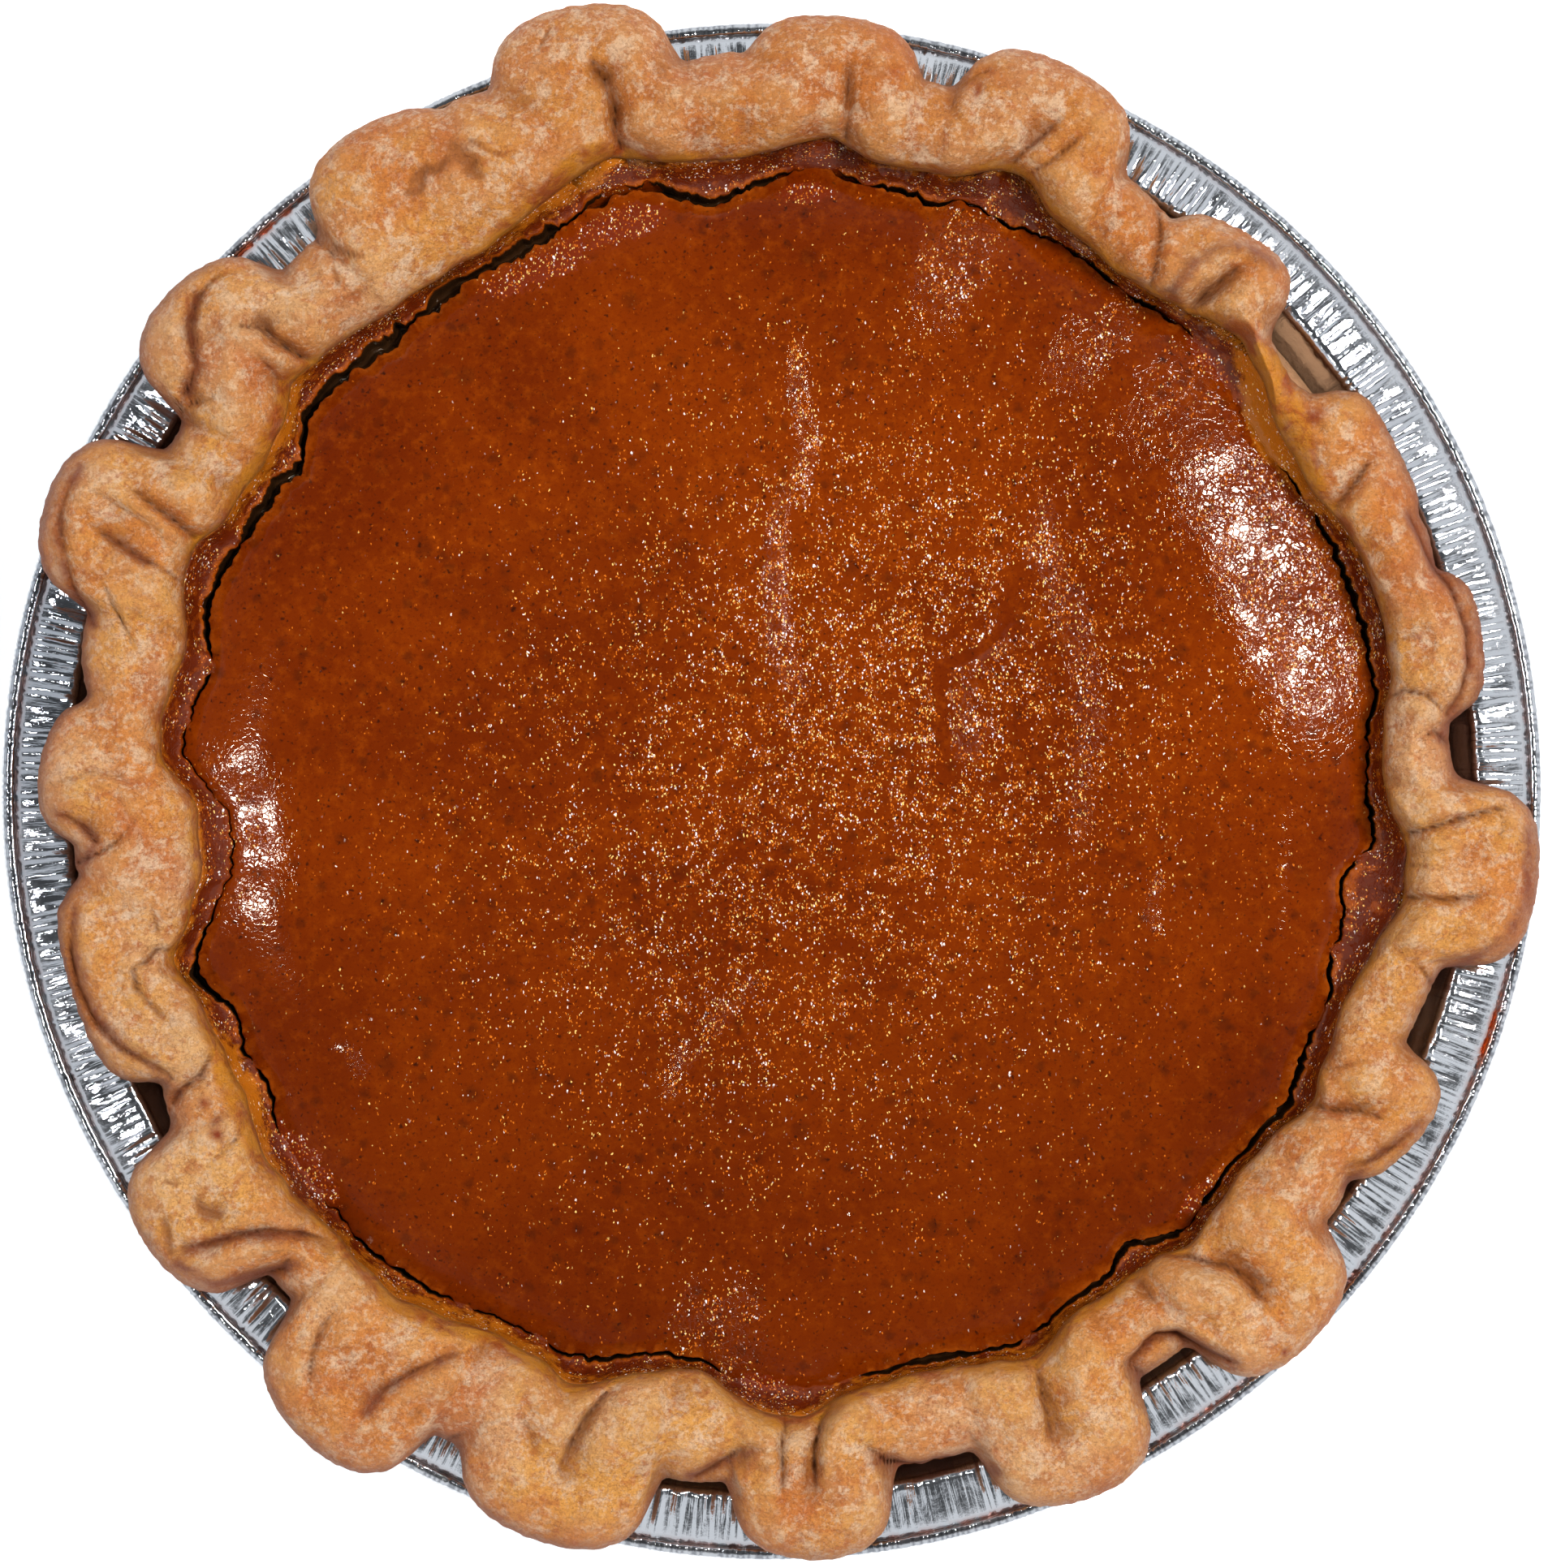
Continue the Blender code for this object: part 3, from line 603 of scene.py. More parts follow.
# %% Folds
Fold = namedtuple("Fold", "width lip line")
FOLDS = (
    Fold(1.5, 0.3, ((346.0, 119, 0.6), (346.8, 115, 2.4), (346.9, 110.5, 3.6), (346.5, 107, 3.8),
                    (346.9, 103.5, 3.2), (347.5, 100, 2.0))),
    Fold(0.8, 0.0, ((345.6, 118, 0.5), (346.8, 115.6, 1.0))),
    Fold(1.3, 0.3, ((5.8, 117, 0.3), (6.0, 113.3, 1.2), (6.2, 109, 2.2), (6.3, 104.7, 2.4), (6.0, 99, 1.6))),
    Fold(1.0, -0.2, ((14.6, 115, 0.4), (14.7, 112, 0.7), (15.8, 109, 0.3))),
    Fold(0.9, -0.2, ((15.0, 115.5, 0.5), (16.1, 118, 0.6), (18.6, 120.4, 0.3))),
    Fold(1.2, -0.25, ((23.4, 116.5, 0.4), (22.6, 112.7, 1.2), (21.5, 108.7, 1.8), (20.6, 105, 2.0),
                      (20.8, 100, 1.6))),
    Fold(1.0, -0.25, ((25.4, 115.2, 0.4), (24.6, 111.3, 1.2), (23.7, 108.1, 1.2), (22.2, 105, 0.7))),
    Fold(0.9, 0.0, ((25.4, 107, 0.3), (25.2, 99, 1.0))),
    Fold(0.9, 0.0, ((30.6, 106, 0.3), (30.9, 99, 0.8))),
    Fold(0.9, 0.0, ((33.0, 105, 0.3), (33.4, 98.5, 0.8))),
    Fold(0.9, -0.5, ((33.6, 110.5, 0.8), (35.0, 106.9, 1.2), (36.4, 101.6, 1.2), (37.0, 98.5, 0.9))),
    Fold(1.2, 0.5, ((41.6, 110.5, 0.8), (41.3, 108, 2.6), (41.0, 104.5, 3.6), (40.8, 100, 3.0))),
    Fold(1.0, -0.3, ((60.8, 109, 0.3), (61.2, 107.1, 1.0), (62.1, 104.2, 1.6), (63.2, 100, 1.2))),
    Fold(0.7, 0.3, ((66.6, 109.6, 0.6), (70.0, 109.9, 0.9), (73.3, 111.8, 1.0), (76.8, 112.3, 1.0),
                    (79.5, 111.7, 1.0), (82.0, 109.6, 0.8), (83.5, 107, 0.6))),
    Fold(0.9, 0.0, ((76.2, 105.5, 0.3), (76.6, 100.5, 0.8))),
    Fold(0.9, 0.5, ((82.0, 96.5, 1.8), (81.3, 99, 2.4), (80.9, 101, 2.0), (81.6, 104.2, 1.4), (83.0, 106.4, 0.8))),
    Fold(0.8, 0.3, ((85.5, 101.7, 0.4), (84.8, 104.8, 1.0), (85.8, 107, 1.0))),
    Fold(0.8, 0.5, ((91.2, 115.6, 0.9), (91.7, 111.6, 1.5), (92.3, 107.7, 1.7), (93.1, 103.8, 1.9),
                    (94.2, 98.5, 2.4))),
    Fold(0.5, 0.0, ((91.8, 114.4, 0.6), (92.8, 115.2, 0.8), (93.8, 114.2, 0.4))),
    Fold(0.8, -0.5, ((99.9, 97.5, 2.4), (99.6, 99.6, 2.0), (99.3, 103.6, 1.7), (99.0, 107.7, 1.5), (98.4, 112.6, 0.7))),
    Fold(1.6, 0.0, ((96.4, 108, 0.3), (96.6, 99, 1.2))),
    Fold(0.9, 0.2, ((106.4, 109, 0.9), (105.2, 106, 0.9), (104.8, 103.6, 0.4))),
    Fold(0.8, 0.5, ((120.5, 97.5, 2.2), (119.6, 102.1, 1.8), (118.5, 105.6, 1.5), (118.1, 109.8, 0.7))),
    Fold(1.0, 0.2, ((116.6, 98, 0.8), (115.0, 101.4, 0.7))),
    Fold(0.7, 0.3, ((122.4, 109.9, 0.7), (121.4, 111.4, 0.9), (119.6, 113.2, 0.8), (117.2, 114.8, 0.4))),
    Fold(0.8, 0.0, ((123.0, 108.6, 0.4), (124.4, 110.8, 0.9))),
    Fold(1.3, 0.4, ((140.2, 95.5, 1.6), (138.3, 98.3, 2.6), (137.2, 101.5, 3.0), (136.2, 103.8, 3.2),
                    (135.8, 107.3, 3.0), (136.1, 111, 1.2))),
    Fold(0.9, -0.5, ((147.8, 106.1, 1.2), (146.0, 104.9, 1.8), (144.8, 104.7, 2.0), (143.2, 106.8, 2.2),
                     (142.4, 110.7, 2.0), (141.0, 116, 0.9))),
    Fold(0.9, 0.2, ((148.5, 105.6, 0.6), (147.7, 108.9, 1.0), (147.8, 112.6, 0.6))),
    Fold(0.9, 0.0, ((143.0, 103, 0.3), (143.4, 95, 1.2))),
    Fold(1.5, 0.3, ((155.0, 97, 1.6), (155.6, 101.5, 2.0), (156.0, 104.6, 2.0), (156.6, 110.6, 0.9))),
    Fold(0.9, -0.4, ((171.8, 104, 0.7), (170.3, 107.3, 1.6), (168.2, 109.0, 1.8), (165.5, 109.2, 1.6),
                     (163.2, 110.4, 1.0), (161.8, 115, 0.4))),
    Fold(0.9, 0.5, ((176.5, 109.5, 0.9), (176.4, 106.5, 2.2), (176.2, 103, 2.8), (175.6, 99.5, 2.8), (174.2, 96.5, 2.0))),
    Fold(0.8, -0.3, ((179.3, 110.5, 0.6), (179.1, 107, 1.6), (179.3, 103.8, 1.8), (178.8, 99, 2.2))),
    Fold(0.9, -0.3, ((186.4, 109, 1.2), (184.8, 106.6, 1.4), (183.0, 104, 0.8), (181.6, 102.6, 0.3))),
    Fold(1.2, -0.5, ((197.4, 112, 0.6), (197.2, 107.5, 1.9), (196.6, 102.7, 2.2), (195.5, 98.5, 1.9))),
    Fold(1.1, 0.0, ((199.4, 111.4, 0.4), (200.5, 108, 0.7), (202.3, 105.4, 0.5), (204.0, 103.6, 0.3))),
    Fold(0.9, 0.0, ((207.0, 116.4, 0.9), (206.4, 114.2, 1.4), (205.6, 112, 0.5))),
    Fold(1.1, 0.4, ((213.2, 117, 0.3), (213.1, 112.4, 0.9), (212.0, 107.7, 1.1), (210.4, 102.9, 0.9), (208.0, 99.4, 0.4))),
    Fold(1.0, 0.2, ((220.2, 107, 0.5), (220.0, 111, 1.0), (219.3, 114.4, 1.0), (218.5, 117, 0.9), (216.8, 121.2, 0.4))),
    Fold(0.9, -0.5, ((226.4, 110.5, 1.6), (225.8, 108, 1.8), (226.0, 106, 0.9))),
    Fold(0.9, -0.6, ((232.4, 117.6, 0.5), (231.2, 113.4, 1.1), (230.4, 109.2, 1.4), (229.2, 105.4, 1.4),
                     (227.0, 102.0, 1.1), (225.2, 100.2, 0.7))),
    Fold(1.0, 0.3, ((236.6, 107, 0.3), (237.0, 101, 0.9), (238.2, 96.5, 0.8))),
    Fold(0.8, 0.4, ((244.8, 98.2, 0.9), (243.7, 100.9, 1.4), (243.3, 104.8, 1.6), (242.6, 107, 1.2))),
    Fold(0.6, 0.5, ((259.6, 112.6, 0.4), (257.2, 113.9, 0.9), (254.4, 114.2, 1.0), (251.3, 113.2, 1.0),
                    (248.6, 110.8, 1.0), (246.3, 107.3, 0.8), (244.4, 105, 0.6))),
    Fold(0.7, 0.6, ((255.2, 98, 2.2), (255.6, 100.7, 1.2), (254.8, 102.6, 1.0), (254.5, 104.8, 1.0),
                    (252.9, 105.2, 1.0), (251.2, 104.0, 0.8), (249.4, 102.6, 0.5))),
    Fold(1.5, 0.0, ((251.2, 97.6, 1.0), (253.6, 99.0, 2.2))),
    Fold(1.8, 0.0, ((259.7, 99.6, 0.7), (257.3, 99.6, 1.0))),
    Fold(0.8, 0.3, ((264.2, 110.5, 1.6), (264.7, 107, 1.2), (265.6, 103.6, 0.9), (267.0, 101.2, 0.5))),
    Fold(0.7, 0.4, ((268.2, 113.4, 0.4), (268.0, 111.2, 0.9), (266.9, 108.6, 1.1), (265.8, 107.2, 0.9))),
    Fold(0.7, 0.4, ((270.5, 113.8, 0.5), (271.6, 108, 0.7), (271.4, 103, 0.6), (269.8, 99.4, 0.3))),
    Fold(1.0, 0.0, ((273.6, 112, 0.4), (274.8, 107.5, 0.5))),
    Fold(0.5, -0.8, ((286.8, 109.6, 0.6), (284.0, 104.9, 0.7), (282.2, 102.2, 0.4))),
    Fold(0.9, 0.3, ((291.4, 116.2, 0.4), (290.9, 111.3, 1.1), (290.3, 106.2, 1.2), (290.0, 101.4, 0.9), (289.2, 98, 0.6))),
    Fold(0.8, 0.4, ((295.4, 112.5, 0.4), (294.8, 107.4, 1.9), (294.4, 103.9, 2.4), (293.8, 100, 2.6))),
    Fold(0.8, -0.2, ((293.9, 117.6, 0.4), (293.6, 111.8, 0.8), (293.2, 108, 0.5))),
    Fold(0.7, 0.4, ((293.4, 120.8, 0.5), (291.0, 120.4, 0.9), (289.2, 118.4, 0.9), (287.1, 116.0, 0.9),
                    (285.3, 113.4, 0.8), (283.9, 110.6, 0.6))),
    Fold(1.0, -0.4, ((304.2, 112.0, 1.6), (306.3, 112.5, 1.4), (307.3, 114.9, 1.5), (308.4, 117.4, 1.6),
                     (310.5, 119.4, 1.3), (312.6, 119.6, 0.8), (314.6, 117.6, 0.3))),
    Fold(0.8, 0.0, ((303.6, 110.6, 1.0), (305.3, 107.0, 0.6))),
    Fold(1.3, 0.5, ((311.2, 111, 1.0), (312.2, 108.9, 3.0), (312.2, 105.6, 3.8), (312.6, 101.8, 3.6), (313.6, 98.2, 2.4))),
    Fold(1.6, 0.0, ((310.4, 106, 0.6), (309.6, 99, 2.2))),
    Fold(0.8, 0.2, ((320.4, 113.4, 0.9), (320.7, 109.3, 0.9), (321.2, 105.4, 0.4))),
    Fold(0.9, 0.0, ((337.0, 119, 0.5), (337.6, 113, 0.3))),
)
ROLLS = (
    Fold(3.6, 0.0, ((349.6, 114, 0.9), (352.0, 111, 1.2), (355.5, 109, 1.4), (359.5, 110, 0.9))),
    Fold(1.5, 0.0, ((38.4, 101.5, 0.8), (38.4, 106, 1.2), (39.4, 110.8, 1.4), (41.0, 113.4, 1.2), (43.0, 114.0, 0.8))),
    Fold(2.2, 0.0, ((44.5, 106.5, 0.8), (46.5, 105, 0.8))),
    Fold(2.6, 0.0, ((67.7, 105.7, 0.6), (73.5, 107.2, 1.0), (77.6, 107.4, 1.0), (80.0, 106, 0.6))),
    Fold(2.4, 0.0, ((83.6, 102, 0.8), (86.0, 100.6, 0.8), (89.0, 101, 0.6))),
    Fold(2.6, 0.0, ((103.5, 103, 0.7), (96.8, 104, 0.3), (91.0, 105, 0.3))),
    Fold(2.4, 0.0, ((121.6, 103, 0.8), (124.5, 102, 0.9), (128, 102.5, 0.6))),
    Fold(2.6, 0.0, ((139.6, 106.5, 0.9), (141.6, 101.5, 0.9), (144.6, 100.5, 0.7), (150.6, 101, 0.9), (152.8, 106, 0.8))),
    Fold(2.4, 0.0, ((170.5, 101.5, 0.7), (166.5, 101, 0.7))),
    Fold(2.0, 0.0, ((188.4, 99.5, 0.8), (192.4, 102.6, 0.9), (194.2, 107, 0.8))),
    Fold(2.2, 0.0, ((205.4, 102, 0.7), (209.4, 105.8, 0.9), (211.0, 111, 0.8))),
    Fold(1.9, 0.0, ((230.8, 118.4, 0.6), (229.4, 112.6, 1.3), (228.2, 107.6, 1.4), (226.2, 103.9, 1.2), (223.4, 103.0, 0.7))),
    Fold(1.2, 0.0, ((269.3, 113.6, 0.6), (270.6, 108, 0.8), (270.5, 102.8, 0.7), (269.0, 100, 0.4))),
    Fold(1.6, 0.0, ((266.6, 112.2, 0.8), (265.6, 109.4, 0.8))),
    Fold(2.4, 0.0, ((297.5, 104.6, 1.0), (301.0, 101.6, 1.0), (305.6, 103.5, 0.9), (308.3, 108.6, 1.0), (311.0, 114, 0.9))),
    Fold(2.6, 0.0, ((315.5, 106, 1.0), (318.6, 104.5, 1.0), (322, 105.4, 0.5))),
)
# Where the flaky top broke open: fine, shallow, and painted darker inside as painted shade.
FLAKES = (
    Fold(0.5, 0.0, ((329.6, 111.6, 0.7), (330.8, 112.0, 1.0), (331.6, 111.0, 1.0), (332.6, 111.6, 0.8))),
    Fold(0.9, 0.0, ((333.6, 113.4, 0.7), (333.9, 111.4, 1.2), (334.4, 109.6, 0.9))),
    Fold(0.6, 0.0, ((334.4, 109.6, 0.8), (334.0, 108.2, 1.0), (334.6, 107.0, 0.9))),
    Fold(0.5, 0.0, ((335.0, 112.6, 0.6), (335.8, 111.2, 0.6))),
    Fold(0.6, 0.0, ((328.6, 110.2, 0.7), (329.6, 109.6, 0.9), (330.2, 110.6, 0.6))),
    Fold(0.4, 0.0, ((336.0, 110.2, 0.5), (336.8, 108.8, 0.5), (337.8, 108.2, 0.3))),
    Fold(0.4, 0.0, ((343.6, 125.0, 0.6), (342.6, 122.5, 0.5))),
    Fold(0.35, 0.0, ((341.0, 117.0, 0.4), (342.2, 118.2, 0.4))),
    Fold(0.6, 0.0, ((321.2, 109.8, 0.7), (321.8, 107.6, 0.8), (322.6, 105.8, 0.5))),
    Fold(0.5, 0.0, ((320.0, 107.4, 0.6), (319.4, 104.8, 0.5))),
    Fold(0.55, 0.0, ((234.8, 117.1, 0.7), (233.6, 118.1, 1.0), (232.6, 119.4, 0.7))),
    Fold(0.6, 0.0, ((234.8, 110.8, 0.6), (233.6, 111.2, 0.9), (232.5, 109.6, 0.8))),
    Fold(0.35, 0.0, ((237.3, 113.4, 0.5), (236.6, 112.2, 0.6), (237.6, 111.6, 0.4))),
    Fold(0.35, 0.0, ((230.6, 112, 0.4), (231.2, 114, 0.4))),
    Fold(0.5, 0.0, ((39.0, 97.5, 0.4), (39.4, 100.5, 0.5))),
)


FOLD_STRENGTH = 1.8
DRAWN_IN = 0.987


def draw(places, folds):
    """Adds up drawn lines over the places: how deep they press in, how far their lips rise,
    and how close the bottom of a crease is."""
    depth, rise, crease = (np.zeros(len(places)) for _ in range(3))
    for fold in folds:
        width = fold.width * MM
        line = np.array(fold.line)
        points = DRAWN_IN * line[:, 1, None] * MM * clock_direction(np.radians(line[:, 0]))
        near = np.hypot(*(places - points.mean(axis=0)).T) < 25 * MM
        here = places[near]
        pressed, lifted, core = (np.zeros(len(here)) for _ in range(3))
        for start, end, low, high in zip(points, points[1:], line[:, 2], line[1:, 2]):
            run = end - start
            length = np.hypot(*run)
            share = np.clip((here - start) @ run / length**2, 0, 1)
            away = here - start - share[:, None] * run
            gap = np.hypot(*away.T)
            side = (here - start) @ np.array([run[1], -run[0]]) / length
            amount = (low + (high - low) * share) * MM
            spread = width * (np.where(side * fold.lip > 0, 0.6, 1.15) if fold.lip else 1.0)
            section = 0.6 * np.exp(-gap / (0.6 * spread)) + 0.4 * np.exp(-((gap / (1.9 * spread)) ** 2))
            pressed = np.maximum(pressed, FOLD_STRENGTH * amount * section)
            core = np.maximum(core, np.minimum(amount / MM, 1) * np.exp(-gap / (0.5 * MM)))
            shoulder = np.exp(-(((gap - 2.0 * width) / (1.4 * width)) ** 2))
            lifted = np.maximum(lifted, amount * abs(fold.lip) * shoulder * (side * fold.lip > 0))
        depth[near] += pressed
        rise[near] += lifted
        crease[near] = np.maximum(crease[near], core)
    return depth, rise, crease


def paint_line(places, lines, width):
    """How close each place lies to a drawn line, from 1 on it to 0 away from it."""
    share = np.zeros(len(places))
    for line in lines:
        points = np.array([DRAWN_IN * radius * MM * clock_direction(math.radians(angle))
                           for angle, radius in line])
        for start, end in zip(points, points[1:]):
            run = end - start
            along = np.clip((places - start) @ run / (run @ run), 0, 1)
            gap = np.hypot(*(places - start - along[:, None] * run).T)
            share = np.maximum(share, np.exp(-((gap / width) ** 2)))
    return share


# Lines painted browner: rims of rolls and seams, which baked browner, and the undersides of
# ledges, where the darkening is painted shade.
BROWN_AND_SHADE_LINES = (
    ((38.6, 101), (38.6, 106.5), (39.5, 111.1), (41, 113.8), (43.5, 114.6)),
    ((66.5, 109.4), (70, 110), (73.5, 112), (77, 112.6), (80, 111.8), (82.6, 109), (85.5, 105.6)),
    ((93, 119.2), (98, 120.2), (101.4, 117.8), (103.4, 113.6), (106, 109)),
    ((117.5, 114.6), (121.6, 111), (124.6, 110.4)),
    ((141.2, 116), (142.6, 110.7), (143.4, 106.8), (145, 105), (148, 106.4), (148, 111)),
    ((161.8, 113), (165.5, 109.8), (168.4, 110), (171, 106.6)),
    ((181.6, 103.6), (184.8, 106.8), (187, 109)),
    ((213.2, 116.4), (213, 112), (211.6, 107), (209.6, 102)),
    ((225.4, 105.8), (226.2, 109.6), (228.6, 117.4), (231.6, 119.6)),
    ((232, 117), (230.4, 109.2), (227, 102.2)),
    ((243.2, 105.6), (246.3, 107.2), (248.6, 110.2), (251.3, 112.4), (254.4, 113.4), (258, 113), (260.4, 111.6)),
    ((264.2, 109), (266, 107), (267.6, 110), (268.4, 113.2)),
    ((283.8, 110.4), (285.3, 113.8), (287.1, 116.4), (289.4, 119.4), (292, 121), (295, 120.4)),
    ((290.8, 111), (290.2, 105)),
    ((304.4, 111.8), (306.6, 112.6), (308.4, 117.4), (310.6, 119.6)),
)


# %% Blending neighbours
def soften_grid(grid, passes):
    """Evens out a grid of heights, across and round, a little with each pass."""
    for _ in range(passes):
        across = grid.copy()
        across[1:-1] = 0.25 * (grid[:-2] + grid[2:]) + 0.5 * grid[1:-1]
        grid = 0.25 * (np.roll(across, 1, axis=1) + np.roll(across, -1, axis=1)) + 0.5 * across
    return grid


# %% Crust shape
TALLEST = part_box("crust")[1].z
SHARPEST_INSIDE = 3.4 * MM
SOFTEST_INSIDE = 7.5 * MM


def crust_inner_edge(steps):
    """The inner edge round the pie, with the small ragged bumps of the dough."""
    angle = clock_angles(steps)
    edge = around(steps, INNER_EDGE, 0.7) * MM
    return edge + 0.45 * MM * grain(edge[None], angle[None], 12.0, 4.5 * MM)[0]


def inside_rounding(steps):
    """How wide the crust's inner shoulder is: tight at the pinches, wide inside the flutes."""
    points = [(pinch.angle, SHARPEST_INSIDE) for pinch in PINCHES]
    points += [(0.5 * (flute.first + flute.second), SOFTEST_INSIDE) for flute in FLUTES]
    return around(steps, sorted(points), 1.5)


def crust_top(angle, inner, outer, share):
    """The crust's upper side: radius, height, how deep its folds and cracks are, and how far each place sinks, for
    painted shade and light.
    """
    radius = inner + (outer - inner) * 0.5 * (1 - np.cos(math.pi * share))
    widest = resting_level(outer) + ROPE_LIFT
    rope = rope_rows()
    raised = np.array([rope_height(rope, r[:, None] * clock_direction(angle)) for r in radius])
    width = inside_rounding(STEPS)
    shoulder = ROPE_HEIGHT * np.sqrt(1 - (1 - (radius - inner) / width).clip(0, 1) ** 2)
    raised = np.maximum(raised, 0.7 * shoulder * (radius < outer - 6 * MM))
    level = widest + np.minimum(soften_grid(raised, 6), shoulder)
    places = (radius[..., None] * clock_direction(angle)).reshape(-1, 2)
    depth, rise, crease = (values.reshape(radius.shape) for values in draw(places, FOLDS))
    roll = draw(places, ROLLS)[0].reshape(radius.shape)
    broken = 0.65 * draw(places, FLAKES)[0].reshape(radius.shape)
    fade = np.sin(math.pi * np.clip(share, 0.02, 0.98)) ** 0.3
    level += fade * (rise + roll)
    level += fade * 0.7 * MM * grain(radius, angle, 0.0, 7 * MM)
    level += fade * 0.5 * MM * grain(radius, angle, 5.0, 2.8 * MM, 3)
    level = soften_grid(level, 1) - fade * depth - broken
    over = level - (TALLEST - 0.6 * MM)
    level = np.where(over > 0, TALLEST - 0.6 * MM + 0.55 * MM * np.tanh(over / (0.55 * MM)), level)
    # How far each place sinks below its neighbours, for painted shade in hollows and painted light on crests.
    relief_shade = np.clip((soften_grid(level, 50) - level) / (0.9 * MM), -1, 1)
    return radius, np.maximum(level, FILL_LINE + 2.2 * MM), places, crease, broken, relief_shade


def make_crust():
    angle = clock_angles(STEPS)
    inner = crust_inner_edge(STEPS)
    outer = soften_round(outer_edge(rope_rows(), angle), 0.4)
    outer += 0.3 * MM * grain(outer[None], angle[None], 0.0, 2.2 * MM, 3)[0] - 0.1 * MM
    share = np.linspace(0, 1, TOP_STATIONS)[:, None]
    radius, level, places, crease, broken, relief_shade = crust_top(angle, inner, outer, share)
    widest = resting_level(outer) + ROPE_LIFT
    floor = 4.3 * MM
    buried = np.minimum(inner, 98.2 * MM) + 0.4 * MM
    rows_inside = [(np.full(STEPS, 86.9 * MM), np.full(STEPS, floor)),
                   (buried, np.full(STEPS, 24 * MM)),
                   (inner + 1.3 * MM, level[0] - 2.0 * MM),
                   (inner + 0.5 * MM, level[0] - 1.0 * MM)]
    under = resting_level(outer)
    rows_outside = [(outer - 0.15 * MM, widest - 1.1 * MM), (outer - 0.6 * MM, widest - 2.1 * MM),
                    (outer - 1.5 * MM, under + 0.3 * MM), (outer - 2.6 * MM, under),
                    (outer - 3.2 * MM, resting_level(outer - 3.2 * MM))]
    wall_top = np.minimum(106.0 * MM, outer - 1.2 * MM)
    rows_outside += [(wall_top, np.full(STEPS, 28.6 * MM)),
                     (np.full(STEPS, 106.4 * MM), np.full(STEPS, 25.4 * MM)),
                     (np.full(STEPS, 89.9 * MM), np.full(STEPS, 0.8 * MM))]
    radii = np.array([row[0] for row in rows_inside] + list(radius) + [row[0] for row in rows_outside])
    heights = np.array([row[1] for row in rows_inside] + list(level) + [row[1] for row in rows_outside])
    obj, ring, step, at_middle = turned_piece("crust_skin", radii, heights, (floor, 0.8 * MM))
    first = len(rows_inside)
    station = np.clip(ring - first, 0, TOP_STATIONS - 1)
    paint(obj, "from_outer", (outer[step] - radius[station, step]) / MM)
    paint(obj, "from_inner", (radius[station, step] - inner[step]) / MM)
    # Painted shade at the bottoms of the creases.
    paint(obj, "crease", crease[station, step])
    # Painted light and shade on the outer wall below the rope.
    paint(obj, "wall", (ring >= first + TOP_STATIONS + 5) * around(STEPS, WALL_LIGHT_AND_SHADE, 1)[step])
    # Painted shade and light from the relief.
    paint(obj, "relief_shade", soften_grid(relief_shade, 2)[station, step])
    # Painted shade inside the cracks of the flaky top.
    paint(obj, "flake_shade", broken[station, step] / MM)
    brown = paint_line(places, BROWN_AND_SHADE_LINES, 1.1 * MM).reshape(radius.shape)
    paint(obj, "brown", brown[station, step])
    paint(obj, "browning", around(STEPS, EDGE_BROWNING, 4)[step])
    paint(obj, "browner_round", around(STEPS, BROWNER_ROUND, 12)[step])
    paint(obj, "moist", around(STEPS, MOIST, 1.5)[step])
    stain = np.zeros(len(places))
    for spot in STAINS:
        outward = clock_direction(math.radians(spot.angle))
        along = (places - spot.radius * MM * outward) @ outward
        across = (places - spot.radius * MM * outward) @ np.array([outward[1], -outward[0]])
        stain = np.maximum(stain, spot.strength * np.exp(
            -((along / (spot.length * MM)) ** 2) - (across / (spot.width * MM)) ** 2))
    paint(obj, "stain", stain.reshape(radius.shape)[station, step])
    return obj, level[0]


# How much browner all the pastry is round the pie (most at the top, none at the left), how
# brown the outer edge baked, and how far the wet custard climbed the pastry.
BROWNER_ROUND = ((0, 0.7), (30, 0.5), (50, 0.2), (90, 0.16), (135, 0.06), (180, 0.04), (225, 0.0), (270, 0.0), (315, 0.1))
# Painted light and shade on the pastry's outer wall: 1 is painted light in the gap beside the tin, -1 is painted shade.
WALL_LIGHT_AND_SHADE = ((41, -1), (44, 1), (58, 1), (61, -1))
EDGE_BROWNING = (
    (0, 0.2), (30, 0.3), (50, 0.5), (66, 0.8), (80, 1.0), (95, 0.8), (120, 0.5), (150, 0.5),
    (180, 0.5), (197, 0.8), (215, 0.8), (235, 0.7), (256, 1.0), (275, 0.8), (291, 1.0),
    (306, 0.9), (325, 0.3), (345, 0.2),
)
MOIST = (
    (0, 0.4), (10, 0.6), (22, 1.2), (33, 0.6), (42, 1), (48, 3.0), (51, 5.0), (56, 4.0), (62, 1.5), (70, 0.6),
    (90, 0.4), (98, 0.6), (118, 0.5), (135, 0.4), (156, 1.6), (162, 0.8), (178, 1.5), (185, 0.4),
    (196, 1.0), (204, 1.6), (214, 2.0), (224, 0.8), (232, 1), (241, 3), (248, 0.8), (262, 1.2),
    (272, 0.8), (290, 0.4), (309, 2.4), (314, 0.4), (330, 0.4), (344, 3), (348, 1),
)
Stain = namedtuple("Stain", "angle radius length width strength")
STAINS = (
    Stain(16.3, 113.5, 1.4, 0.6, 0.9), Stain(55.3, 102.5, 2.2, 1.3, 0.9), Stain(137.6, 118.0, 0.7, 0.7, 1.0),
    Stain(238.3, 101.2, 1.0, 1.3, 1.0), Stain(239.4, 100.2, 1.3, 0.8, 0.8), Stain(241.2, 100.6, 1.0, 1.2, 0.9),
    Stain(27.6, 108.3, 0.9, 0.8, 0.4), Stain(76.4, 102.8, 1.8, 0.5, 0.4),
)
crust, crust_inner_level = make_crust()
